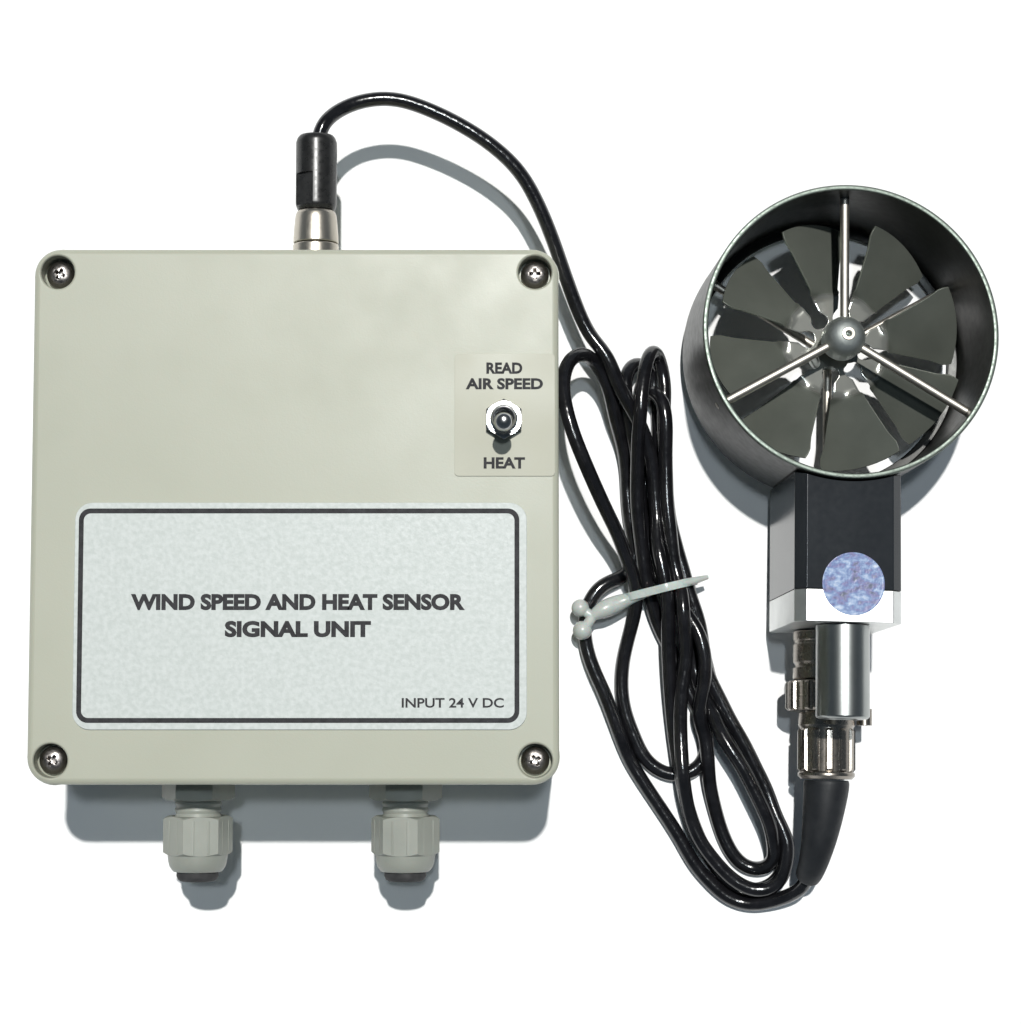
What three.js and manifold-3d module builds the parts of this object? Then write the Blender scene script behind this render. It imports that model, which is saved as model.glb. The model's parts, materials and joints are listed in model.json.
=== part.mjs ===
// Rotating-vane air-speed probe with its transmitter box, joined by a free cord.
// Millimetres, +Z up. Both units lie on a table top at Z = 0.
import * as THREE from "three";
import * as BufferGeometryUtils from "three/addons/utils/BufferGeometryUtils.js";
import Module from "manifold-3d";

const wasm = await Module();
wasm.setup();

// ---- driving dimensions -------------------------------------------------

// Transmitter box
const BOX_WIDTH = 120;
const BOX_LENGTH = 122;
const BOX_HEIGHT = 56;
const BOX_CORNER = 6;
const BOX_WALL = 4;
const BOX_FLOOR = 3;
const SEAM_HEIGHT = 38;
const LID_TOP = 3;
const LID_ROUNDING = 1.4;
const SCREW_X = 54.6;
const SCREW_Y = 55.6;
const SCREW_RECESS_R = 3.8;
const SCREW_SEAT = 51;
const PORT_HEIGHT = 28;

// Vane head, in its own frame: U across, V towards the top of the ring, W out of the front
const RING_R = 35.5;
const RING_WALL = 1.3;
const RING_LENGTH = 34;
const BLADE_COUNT = 8;
const BLADE_TIP_R = 29.5;
const BLADE_ROOT_R = 13;
const BLADE_PITCH = THREE.MathUtils.degToRad(33);
const ROTOR_W = -18;
const FRONT_SPIDER_W = -8;
const REAR_SPIDER_W = -28;
const SPOKE_R = 1;
const NECK_WIDTH = 25.4;
const NECK_FRONT_W = -1.5;
const NECK_REAR_W = -38.2;
const NECK_END_V = -61.4;
const END_BLOCK_V = -69.1;
const STUB_R = 6.35;
const STUB_W = -9.5;
const STUB_END_V = -91.4;
const JACK_W = -28;
const HEAD_PLACE = new THREE.Vector3(129.8, 45.1, 37.1);
const HEAD_ROLL = THREE.MathUtils.degToRad(3.8);
const HEAD_PITCH = THREE.MathUtils.degToRad(3.2);
const HEAD_YAW = THREE.MathUtils.degToRad(-1.2);

// Cord
const CORD_R = 1.75;
const GAP = 0.3;

// ---- materials ----------------------------------------------------------

function paint(color, roughness, metalness = 0) {
  return new THREE.MeshStandardMaterial({ color, roughness, metalness });
}

const boxPlastic = paint(0xc9cab8, 0.45);
const glandPlastic = paint(0xb4b6b2, 0.5);
const steel = paint(0xb9b8b4, 0.3, 1);
const nickel = paint(0xb8aea0, 0.25, 1);
const chrome = paint(0xd8d8d8, 0.12, 1);
const aluminium = paint(0xc4c6c8, 0.35, 1);
const blackAnodised = paint(0x24272b, 0.45, 0.4);
const ringAnodised = paint(0x3a3c3b, 0.5, 0.4);
const bladeMetal = paint(0x6c6f68, 0.35, 0.8);
const blackPlastic = paint(0x141414, 0.45);
const blackRubber = paint(0x0d0d0e, 0.6);
const greyRubber = paint(0x2c2d2e, 0.8);
const plateFilm = paint(0xc9d0cf, 0.4, 0.2);
const labelFilm = paint(0xcfcbb4, 0.45);
const sealFilm = paint(0x8fb0dc, 0.25, 0.3);
const boardGreen = paint(0x1f5a34, 0.5);
const terminalGreen = paint(0x3c8a4a, 0.5);
const nylon = paint(0xd6dcda, 0.4);

// ---- helpers ------------------------------------------------------------

const root = new THREE.Group();
const cordPieces = [];

function piece(parent, name, geometry, material) {
  const mesh = new THREE.Mesh(geometry, material);
  mesh.name = name;
  parent.add(mesh);
  return mesh;
}

function cordPiece(parent, name, geometry, material) {
  cordPieces.push(name);
  return piece(parent, name, geometry, material);
}

function solid(geometry) {
  const bare = geometry.clone();
  bare.deleteAttribute("normal");
  bare.deleteAttribute("uv");
  const merged = BufferGeometryUtils.mergeVertices(bare, 1e-4);
  const mesh = new wasm.Mesh({
    numProp: 3,
    vertProperties: new Float32Array(merged.attributes.position.array),
    triVerts: new Uint32Array(merged.index.array),
  });
  mesh.merge();
  return new wasm.Manifold(mesh);
}

function geometryOf(manifold) {
  const mesh = manifold.getMesh();
  const geometry = new THREE.BufferGeometry();
  geometry.setAttribute("position", new THREE.BufferAttribute(new Float32Array(mesh.vertProperties), 3));
  geometry.setIndex(new THREE.BufferAttribute(new Uint32Array(mesh.triVerts), 1));
  const flat = geometry.toNonIndexed();
  flat.computeVertexNormals();
  return flat;
}

function joined(...geometries) {
  return geometryOf(geometries.map(solid).reduce((sum, next) => sum.add(next)));
}

function cut(geometry, ...tools) {
  return geometryOf(tools.map(solid).reduce((rest, tool) => rest.subtract(tool), solid(geometry)));
}

function common(geometry, other) {
  return geometryOf(solid(geometry).intersect(solid(other)));
}

// A solid of revolution about Z from [radius, height] pairs.
function turned(profile, segments = 40) {
  const points = profile.map(([r, h]) => new THREE.Vector2(r, h));
  return new THREE.LatheGeometry(points, segments).rotateX(Math.PI / 2);
}

// The same about Y, growing towards -Y as the second number grows.
function turnedDown(profile, segments = 40) {
  const points = profile.map(([r, h]) => new THREE.Vector2(r, h));
  return new THREE.LatheGeometry(points, segments).rotateX(Math.PI);
}

function rod(radius, from, to, segments = 20) {
  const start = new THREE.Vector3(...from);
  const end = new THREE.Vector3(...to);
  const length = start.distanceTo(end);
  const geometry = new THREE.CylinderGeometry(radius, radius, length, segments);
  const turn = new THREE.Quaternion().setFromUnitVectors(
    new THREE.Vector3(0, 1, 0),
    end.clone().sub(start).normalize(),
  );
  const middle = start.add(end).multiplyScalar(0.5);
  return geometry.applyQuaternion(turn).translate(middle.x, middle.y, middle.z);
}

function slab(x0, x1, y0, y1, z0, z1) {
  const geometry = new THREE.BoxGeometry(x1 - x0, y1 - y0, z1 - z0);
  return geometry.translate((x0 + x1) / 2, (y0 + y1) / 2, (z0 + z1) / 2);
}

function roundedOutline(width, length, radius) {
  const x = width / 2;
  const y = length / 2;
  const shape = new THREE.Shape();
  shape.moveTo(-x + radius, -y);
  shape.lineTo(x - radius, -y);
  shape.absarc(x - radius, -y + radius, radius, -Math.PI / 2, 0);
  shape.lineTo(x, y - radius);
  shape.absarc(x - radius, y - radius, radius, 0, Math.PI / 2);
  shape.lineTo(-x + radius, y);
  shape.absarc(-x + radius, y - radius, radius, Math.PI / 2, Math.PI);
  shape.lineTo(-x, -y + radius);
  shape.absarc(-x + radius, -y + radius, radius, Math.PI, Math.PI * 1.5);
  return shape;
}

function polygonOutline(sides, acrossFlats, turn = 0) {
  const radius = acrossFlats / 2 / Math.cos(Math.PI / sides);
  const corners = [];
  for (let i = 0; i < sides; i += 1) {
    const angle = turn + (i * 2 * Math.PI) / sides;
    corners.push(new THREE.Vector2(radius * Math.cos(angle), radius * Math.sin(angle)));
  }
  return new THREE.Shape(corners);
}

// A round outline with evenly spaced ribs, used for knurls and finger flutes.
function ribbedOutline(ribs, outerR, innerR) {
  const corners = [];
  for (let i = 0; i < ribs; i += 1) {
    const step = (2 * Math.PI) / ribs;
    for (const [share, radius] of [[0.05, outerR], [0.5, outerR], [0.6, innerR], [0.95, innerR]]) {
      const angle = (i + share) * step;
      corners.push(new THREE.Vector2(radius * Math.cos(angle), radius * Math.sin(angle)));
    }
  }
  return new THREE.Shape(corners);
}

function prism(shape, z0, z1, curveSegments = 8) {
  const geometry = new THREE.ExtrudeGeometry(shape, {
    depth: z1 - z0,
    bevelEnabled: false,
    curveSegments,
  });
  return geometry.translate(0, 0, z0);
}

// A prism whose length runs along -Y instead of +Z.
function prismDown(shape, from, to, curveSegments = 8) {
  return prism(shape, from, to, curveSegments).rotateX(Math.PI / 2);
}

// Rings of points round a path, joined into one closed skin with flat ends.
function loft(centres, radii, segments = 24) {
  const positions = [];
  const index = [];
  const up = new THREE.Vector3(0, 0, 1);
  centres.forEach((centre, i) => {
    const before = centres[Math.max(i - 1, 0)];
    const after = centres[Math.min(i + 1, centres.length - 1)];
    const along = after.clone().sub(before).normalize();
    const side = new THREE.Vector3().crossVectors(along, up).normalize();
    const over = new THREE.Vector3().crossVectors(side, along);
    for (let k = 0; k < segments; k += 1) {
      const angle = (k * 2 * Math.PI) / segments;
      const point = centre.clone();
      point.addScaledVector(side, radii[i] * Math.cos(angle));
      point.addScaledVector(over, radii[i] * Math.sin(angle));
      positions.push(point.x, point.y, point.z);
    }
  });
  const last = centres.length - 1;
  for (let i = 0; i < last; i += 1) {
    for (let k = 0; k < segments; k += 1) {
      const next = (k + 1) % segments;
      const a = i * segments + k;
      const b = i * segments + next;
      index.push(a, a + segments, b, b, a + segments, b + segments);
    }
  }
  for (const [ring, flip] of [[0, true], [last, false]]) {
    const centre = positions.length / 3;
    positions.push(centres[ring].x, centres[ring].y, centres[ring].z);
    for (let k = 0; k < segments; k += 1) {
      const a = ring * segments + k;
      const b = ring * segments + ((k + 1) % segments);
      index.push(...(flip ? [centre, a, b] : [centre, b, a]));
    }
  }
  const geometry = new THREE.BufferGeometry();
  geometry.setAttribute("position", new THREE.Float32BufferAttribute(positions, 3));
  geometry.setIndex(index);
  const flat = geometry.toNonIndexed();
  flat.computeVertexNormals();
  return flat;
}

// ---- transmitter box ----------------------------------------------------

const SCREW_SPOTS = [[-SCREW_X, SCREW_Y], [SCREW_X, SCREW_Y], [SCREW_X, -SCREW_Y], [-SCREW_X, -SCREW_Y]];
const GLAND_X = [-25, 24.1];
const TOP_JACK_X = 2;
const SWITCH_X = 47.5;
const SWITCH_Y = 21.5;

const BOARD_SPOTS = [[-44, 38], [44, 38], [44, -38], [-44, -38]];

// Round posts in the four corners, left standing when a half of the box is hollowed out.
function cornerPosts(z0, z1) {
  return SCREW_SPOTS.map(([x, y]) => rod(6.4, [x, y, z0], [x, y, z1], 20));
}

function enclosureBase() {
  const outline = roundedOutline(BOX_WIDTH, BOX_LENGTH, BOX_CORNER);
  const body = prism(outline, 0, SEAM_HEIGHT);
  const inside = prism(
    roundedOutline(BOX_WIDTH - 2 * BOX_WALL, BOX_LENGTH - 2 * BOX_WALL, 2.5),
    BOX_FLOOR,
    SEAM_HEIGHT + 1,
    4,
  );
  const standoffs = BOARD_SPOTS.map(([x, y]) => rod(3.2, [x, y, 1], [x, y, 9], 16));
  const hollow = cut(inside, ...cornerPosts(0, SEAM_HEIGHT + 2), ...standoffs);
  const shell = cut(body, hollow);
  const screwHoles = SCREW_SPOTS.map(([x, y]) => rod(2.3, [x, y, 22], [x, y, SEAM_HEIGHT + 1], 16));
  const boardHoles = BOARD_SPOTS.map(([x, y]) => rod(1.6, [x, y, 4], [x, y, 10], 12));
  const wallY = BOX_LENGTH / 2;
  const glandHoles = GLAND_X.map((x) => rod(6.4, [x, -wallY - 1, PORT_HEIGHT], [x, -wallY + 6, PORT_HEIGHT], 28));
  const jackHole = rod(4.7, [TOP_JACK_X, wallY - 6, PORT_HEIGHT], [TOP_JACK_X, wallY + 1, PORT_HEIGHT], 28);
  return cut(shell, ...screwHoles, ...boardHoles, ...glandHoles, jackHole);
}

function enclosureLid() {
  const top = BOX_HEIGHT;
  const bottom = SEAM_HEIGHT + GAP;
  const skirtShape = roundedOutline(BOX_WIDTH - 2 * LID_ROUNDING, BOX_LENGTH - 2 * LID_ROUNDING, BOX_CORNER - LID_ROUNDING);
  const rounded = new THREE.ExtrudeGeometry(skirtShape, {
    depth: top - bottom,
    bevelEnabled: true,
    bevelThickness: LID_ROUNDING,
    bevelSize: LID_ROUNDING,
    bevelSegments: 2,
    curveSegments: 6,
  }).translate(0, 0, bottom - LID_ROUNDING);
  const block = common(rounded, slab(-70, 70, -70, 70, bottom, top + 1));
  const inside = prism(
    roundedOutline(BOX_WIDTH - 2 * BOX_WALL, BOX_LENGTH - 2 * BOX_WALL, 2.5),
    bottom - 1,
    top - LID_TOP,
    4,
  );
  const shell = cut(block, cut(inside, ...cornerPosts(bottom - 2, top)));
  const recesses = SCREW_SPOTS.map(([x, y]) => rod(SCREW_RECESS_R, [x, y, SCREW_SEAT], [x, y, top + 1], 32));
  const holes = SCREW_SPOTS.map(([x, y]) => rod(2.3, [x, y, bottom - 1], [x, y, top], 16));
  const switchHole = rod(3.4, [SWITCH_X, SWITCH_Y, top - LID_TOP - 1], [SWITCH_X, SWITCH_Y, top + 1], 24);
  return cut(shell, ...recesses, ...holes, switchHole);
}

// The lid seal lies just inside the walls and steps round each post.
function lidGasket() {
  const outer = roundedOutline(BOX_WIDTH - 2 * BOX_WALL - 2 * GAP, BOX_LENGTH - 2 * BOX_WALL - 2 * GAP, 2.2);
  const inner = roundedOutline(BOX_WIDTH - 2 * BOX_WALL - 3.6, BOX_LENGTH - 2 * BOX_WALL - 3.6, 1.5);
  const band = cut(prism(outer, SEAM_HEIGHT - 1.5, SEAM_HEIGHT + 1.8, 4), prism(inner, SEAM_HEIGHT - 3, SEAM_HEIGHT + 3, 4));
  const clear = SCREW_SPOTS.map(([x, y]) => rod(6.4 + GAP, [x, y, SEAM_HEIGHT - 4], [x, y, SEAM_HEIGHT + 4], 24));
  const bridges = SCREW_SPOTS.map(([x, y]) => {
    const disc = rod(8.2, [x, y, SEAM_HEIGHT - 1.5], [x, y, SEAM_HEIGHT + 1.8], 24);
    return common(disc, prism(outer, SEAM_HEIGHT - 1.5, SEAM_HEIGHT + 1.8, 4));
  });
  return cut(joined(band, ...bridges), ...clear);
}

function lidScrew(x, y) {
  const seat = SCREW_SEAT + GAP;
  const head = turned([[0, 26], [1.9, 26.5], [1.9, seat], [3.2, seat], [3.2, seat + 1.3], [2.5, seat + 2.1], [0, seat + 2.4]], 24);
  const slotA = slab(-2.1, 2.1, -0.45, 0.45, seat + 1, seat + 4);
  const slotB = slab(-0.45, 0.45, -2.1, 2.1, seat + 1, seat + 4);
  return cut(head, slotA, slotB).rotateZ(0.6).translate(x, y, 0);
}

function circuitBoard() {
  const board = prism(roundedOutline(96, 84, 2), 9 + GAP, 10.9 + GAP, 3);
  return cut(board, ...BOARD_SPOTS.map(([x, y]) => rod(1.8, [x, y, 8], [x, y, 13], 12)));
}

function boardScrew(x, y) {
  return turned([[0, 5], [1.3, 5], [1.3, 11.5], [2.6, 11.5], [2.6, 12.6], [2, 13.1], [0, 13.1]], 16).translate(x, y, 0);
}

function terminalBlock() {
  const body = slab(-20, 20, -39, -29, 11.5, 21);
  const mouths = [];
  for (let i = 0; i < 4; i += 1) {
    const x = -15 + i * 10;
    mouths.push(slab(x - 3, x + 3, -40, -34, 13, 17.5));
    mouths.push(rod(2.4, [x, -33, 18], [x, -33, 22], 12));
  }
  return cut(body, ...mouths);
}

function addTransmitter(group) {
  piece(group, "enclosure_base", enclosureBase(), boxPlastic);
  piece(group, "enclosure_lid", enclosureLid(), boxPlastic);
  piece(group, "lid_gasket", lidGasket(), greyRubber);
  SCREW_SPOTS.forEach(([x, y], i) => {
    piece(group, `lid_screw_${i + 1}`, lidScrew(x, y), steel);
  });
  piece(group, "circuit_board", circuitBoard(), boardGreen);
  piece(group, "terminal_block", terminalBlock(), terminalGreen);
  BOARD_SPOTS.forEach(([x, y], i) => {
    piece(group, `board_screw_${i + 1}`, boardScrew(x, y), steel);
  });
  const plate = prism(roundedOutline(102.4, 51.3, 4), BOX_HEIGHT + 0.05, BOX_HEIGHT + 0.45);
  piece(group, "nameplate", plate.translate(1.5, -23, 0), plateFilm);
  const label = prism(roundedOutline(22.8, 28, 0.6), BOX_HEIGHT + 0.05, BOX_HEIGHT + 0.3, 2).translate(47.7, 22.7, 0);
  const labelHole = rod(3.6, [SWITCH_X, SWITCH_Y, BOX_HEIGHT - 1], [SWITCH_X, SWITCH_Y, BOX_HEIGHT + 1], 24);
  piece(group, "switch_label", cut(label, labelHole), labelFilm);
}

// ---- toggle switch ------------------------------------------------------

const LEVER_PIVOT = new THREE.Vector3(SWITCH_X, SWITCH_Y, 59.4);

// Case under the lid and the threaded bushing through it, open at the top for the lever.
function switchBody() {
  const under = BOX_HEIGHT - LID_TOP - GAP;
  const box = slab(-6.6, 6.6, -4, 4, under - 10, under);
  const bushing = turned([[0, under - 1], [3, under - 1], [3, 61.4], [2.6, 61.9], [0, 61.9]], 28);
  const mouth = turned([[0, 56.2], [2.1, 56.2], [2.1, 62.5], [0, 62.5]], 24);
  const lugs = [-4.7, 0, 4.7].map((x) => slab(x - 1, x + 1, -0.4, 0.4, under - 15, under - 9));
  return cut(joined(box, bushing, ...lugs), mouth).translate(SWITCH_X, SWITCH_Y, 0);
}

function switchNut() {
  const hex = prism(polygonOutline(6, 8, 0), BOX_HEIGHT + 0.6, BOX_HEIGHT + 2.6);
  const bore = rod(3.3, [0, 0, BOX_HEIGHT], [0, 0, BOX_HEIGHT + 4], 28);
  return cut(hex, bore).translate(SWITCH_X, SWITCH_Y, 0);
}

// Ball in the bushing with a tapered bat above it, thrown towards -Y at rest.
function switchLever() {
  const bat = turned([
    [0, -1.7], [0.9, -1.5], [1.5, -0.8], [1.7, 0], [1.35, 0.9], [0.95, 1.6],
    [1.1, 4], [1.45, 9.6], [1.35, 10.4], [0.8, 10.9], [0, 11],
  ], 18);
  return bat.rotateX(THREE.MathUtils.degToRad(11)).translate(LEVER_PIVOT.x, LEVER_PIVOT.y, LEVER_PIVOT.z);
}

function addSwitch(group) {
  piece(group, "switch_body", switchBody(), chrome);
  piece(group, "switch_nut", switchNut(), chrome);
  piece(group, "switch_lever", switchLever(), chrome);
}

// ---- cable glands and the socket on the box -----------------------------

// Gland pieces run along their own -Y from the outer wall face at Y = 0.
function glandBody() {
  const hex = prismDown(polygonOutline(6, 15, Math.PI / 6), GAP, 4.8);
  const tube = turnedDown([
    [4.3, -10], [6.1, -10], [6.1, 0.5], [5.5, 0.5], [5.5, 15.5], [4.3, 15.5], [4.3, -10],
  ], 28);
  const bore = rod(4.3, [0, -6, 0], [0, 2, 0], 28);
  return joined(cut(hex, bore), tube);
}

function glandLocknut() {
  const hex = prismDown(polygonOutline(6, 17, 0), -8.8, -BOX_WALL - GAP);
  return cut(hex, rod(6.4, [0, 0, 0], [0, 12, 0], 28));
}

function glandDome() {
  const hexPart = prismDown(polygonOutline(6, 15.4, Math.PI / 6), 8.5, 17.6);
  const dome = turnedDown([[0, 8.6], [7.6, 8.6], [7.6, 17.5], [7.2, 19.6], [6.3, 21.2], [5.6, 21.6], [0, 21.6]], 32);
  const cavity = turnedDown([[0, 8], [5.8, 8], [5.8, 16.4], [4.4, 18.6], [4.4, 23], [0, 23]], 28);
  const ribs = [];
  for (let i = 0; i < 6; i += 1) {
    const angle = (i * Math.PI) / 3;
    ribs.push(slab(-0.6, 0.6, -18.6, -16.6, 6.3, 8.1).rotateY(angle));
  }
  return cut(joined(hexPart, dome, ...ribs), cavity);
}

function glandSeal() {
  return turnedDown([[3.25, 6], [4, 6], [4, 18.6], [4.05, 22.6], [3.25, 22.6], [3.25, 6]], 28);
}

function addGland(group, side, x) {
  const gland = new THREE.Group();
  gland.position.set(x, -BOX_LENGTH / 2, PORT_HEIGHT);
  group.add(gland);
  piece(gland, `gland_${side}_body`, glandBody(), glandPlastic);
  piece(gland, `gland_${side}_locknut`, glandLocknut(), glandPlastic);
  piece(gland, `gland_${side}_dome_nut`, glandDome(), glandPlastic);
  piece(gland, `gland_${side}_seal`, glandSeal(), greyRubber);
}

// Socket pieces run along their own +Y from the outer wall face at Y = 0.
function addTopConnector(group) {
  const place = new THREE.Group();
  place.position.set(TOP_JACK_X, BOX_LENGTH / 2, PORT_HEIGHT);
  place.rotation.z = Math.PI;
  group.add(place);
  const barrel = turnedDown([
    [0, -12], [3.6, -12], [3.6, -9], [4.4, -9], [4.4, GAP], [6.2, GAP], [6.2, 2.2], [4.95, 2.6], [4.95, 6.4], [0, 6.4],
  ], 28);
  piece(place, "box_socket", barrel, nickel);
  const nut = cut(prismDown(polygonOutline(6, 12, 0), -6.6, -BOX_WALL - GAP), rod(4.7, [0, 0, 0], [0, 9, 0], 28));
  piece(place, "box_socket_nut", nut, nickel);
  const shell = turnedDown([[0, 6.7], [4.95, 6.7], [4.95, 14.2], [4.5, 14.6], [0, 14.6]], 28);
  cordPiece(place, "box_plug_shell", shell, nickel);
  const sleeve = turnedDown([
    [0, 14.9], [4.3, 14.9], [4.3, 17.1], [4.95, 17.5], [4.95, 31.4], [4.3, 32.9], [2.5, 32.9], [2.5, 33.4], [0, 33.4],
  ], 28);
  const grip = slab(3, 6, -26.2, -20.6, -2.2, 2.2);
  cordPiece(place, "box_plug_sleeve", cut(sleeve, grip), blackPlastic);
}

// ---- vane head ----------------------------------------------------------

function spiderAngles(first) {
  return [0, 1, 2].map((i) => THREE.MathUtils.degToRad(first + i * 120));
}

function alongRay(angle, radius, w) {
  return [radius * Math.cos(angle), radius * Math.sin(angle), w];
}

function vaneHousing() {
  const inner = RING_R - RING_WALL;
  const tube = turned([
    [inner, -RING_LENGTH + 0.3], [RING_R - 0.9, -RING_LENGTH], [RING_R - 0.2, -RING_LENGTH],
    [RING_R, -RING_LENGTH + 0.3], [RING_R, -0.3], [RING_R - 0.2, 0], [inner + 0.2, 0],
    [inner, -0.3], [inner, -RING_LENGTH + 0.3],
  ], 72);
  const holes = [
    ...spiderAngles(90).map((a) => rod(SPOKE_R + GAP, alongRay(a, 30, FRONT_SPIDER_W), alongRay(a, 38, FRONT_SPIDER_W), 12)),
    ...spiderAngles(-90).map((a) => rod(SPOKE_R + GAP, alongRay(a, 30, REAR_SPIDER_W), alongRay(a, 38, REAR_SPIDER_W), 12)),
  ];
  return cut(tube, ...holes);
}

function spoke(angle, w) {
  return rod(SPOKE_R, alongRay(angle, 4.4, w), alongRay(angle, RING_R - 0.1, w), 14);
}

// Nose cone: carries the front bearing and takes the three spokes.
function frontHub() {
  const cone = turned([
    [0, -3.6], [0.45, -3.6], [0.45, -2.8], [1.3, -2.6], [2.6, -3.1], [3.7, -4.2], [4.4, -5.8], [4.65, -7.2],
    [4.65, -11.5], [4.2, -12], [2.5, -12], [2.5, -10], [0, -10],
  ].reverse(), 28);
  const holes = spiderAngles(90).map((a) => rod(SPOKE_R + GAP, alongRay(a, 3.9, FRONT_SPIDER_W), alongRay(a, 6, FRONT_SPIDER_W), 12));
  return cut(cone, ...holes);
}

function rearHub() {
  const drum = turned([
    [0, -32.5], [3.4, -32.5], [4.2, -31.9], [4.2, -24.4], [3.8, -24], [2.5, -24], [2.5, -26], [0, -26],
  ], 28);
  const holes = spiderAngles(-90).map((a) => rod(SPOKE_R + GAP, alongRay(a, 3.6, REAR_SPIDER_W), alongRay(a, 6, REAR_SPIDER_W), 12));
  return cut(drum, ...holes);
}

function bearing(w0, w1) {
  return turned([[0.9, w0], [2.2, w0], [2.2, w1], [0.9, w1], [0.9, w0]], 20);
}

function bladeOutline() {
  const shape = new THREE.Shape();
  const rootHalf = 0.31;
  const tipHalf = 0.345;
  shape.moveTo(12 * Math.cos(-rootHalf), 12 * Math.sin(-rootHalf));
  shape.lineTo(BLADE_TIP_R * Math.cos(-tipHalf), BLADE_TIP_R * Math.sin(-tipHalf));
  shape.absarc(0, 0, BLADE_TIP_R, -tipHalf, tipHalf);
  shape.lineTo(12 * Math.cos(rootHalf), 12 * Math.sin(rootHalf));
  return shape;
}

// Stamped sheet rotor: a polished middle with key-shaped slots and eight angled blades.
function impeller() {
  const sheet = 0.6;
  const disc = turned([[1.3, -sheet / 2], [BLADE_ROOT_R, -sheet / 2], [BLADE_ROOT_R, sheet / 2], [1.3, sheet / 2], [1.3, -sheet / 2]], 48);
  const slots = [];
  const blades = [];
  for (let i = 0; i < BLADE_COUNT; i += 1) {
    const turn = ((i + 0.5) * 2 * Math.PI) / BLADE_COUNT + 0.1;
    slots.push(slab(8, 15, -0.8, 0.8, -2, 2).rotateZ(turn));
    slots.push(rod(1.9, alongRay(turn, 8.2, -2), alongRay(turn, 8.2, 2), 12));
    const blade = prism(bladeOutline(), -sheet / 2, sheet / 2, 5);
    blades.push(blade.rotateX(BLADE_PITCH).rotateZ((i * 2 * Math.PI) / BLADE_COUNT + 0.1));
  }
  const boss = turned([[1.1, -3], [2.6, -3], [2.6, 3], [1.1, 3], [1.1, -3]], 20);
  return joined(cut(disc, ...slots), boss, ...blades).translate(0, 0, ROTOR_W);
}

function rotorShaft() {
  return turned([[0, -25.6], [0.6, -25.2], [0.6, -21.5], [0.8, -21.3], [0.8, -14.7], [0.6, -14.5], [0.6, -10.8], [0, -10.4]], 16);
}

function neckOutline() {
  const half = NECK_WIDTH / 2;
  const front = NECK_FRONT_W;
  const rear = NECK_REAR_W;
  return new THREE.Shape([
    new THREE.Vector2(-half, rear + 2), new THREE.Vector2(-half + 2, rear),
    new THREE.Vector2(half - 2, rear), new THREE.Vector2(half, rear + 2),
    new THREE.Vector2(half, front - 2.4), new THREE.Vector2(half - 2.4, front),
    new THREE.Vector2(-half + 2.4, front), new THREE.Vector2(-half, front - 2.4),
  ]);
}

// Neck blocks are cut from one chamfered bar whose length runs along -V.
function neckBar(from, to) {
  const bar = prism(neckOutline(), -to, -from);
  return bar.rotateX(Math.PI / 2);
}

function neckBlock() {
  const saddle = turned([[0, -60], [RING_R + GAP, -60], [RING_R + GAP, 10], [0, 10]], 96);
  return cut(neckBar(NECK_END_V, -28), saddle);
}

function addVaneHead(group) {
  const head = new THREE.Group();
  head.position.copy(HEAD_PLACE);
  head.rotation.set(-HEAD_PITCH, HEAD_ROLL, HEAD_YAW, "ZXY");
  group.add(head);
  piece(head, "vane_housing", vaneHousing(), ringAnodised);
  piece(head, "front_hub", frontHub(), aluminium);
  piece(head, "rear_hub", rearHub(), aluminium);
  spiderAngles(90).forEach((a, i) => {
    piece(head, `front_spoke_${i + 1}`, spoke(a, FRONT_SPIDER_W), steel);
  });
  spiderAngles(-90).forEach((a, i) => {
    piece(head, `rear_spoke_${i + 1}`, spoke(a, REAR_SPIDER_W), steel);
  });
  piece(head, "front_bearing", bearing(-11.7, -10.2), steel);
  piece(head, "rear_bearing", bearing(-25.8, -24.3), steel);
  piece(head, "impeller", impeller(), bladeMetal);
  piece(head, "impeller_shaft", rotorShaft(), steel);
  piece(head, "neck_block", neckBlock(), blackAnodised);
  piece(head, "neck_end_block", neckBar(END_BLOCK_V, NECK_END_V - 0.1), aluminium);
  const seal = turned([[0, NECK_FRONT_W + 0.05], [7.4, NECK_FRONT_W + 0.05], [7.4, NECK_FRONT_W + 0.3], [0, NECK_FRONT_W + 0.3]], 40);
  piece(head, "round_seal", seal.translate(0.8, -60.1, 0), sealFilm);
  addHandleEnd(head);
}

// ---- handle stub, probe socket and the plug on the cord -----------------

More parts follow.
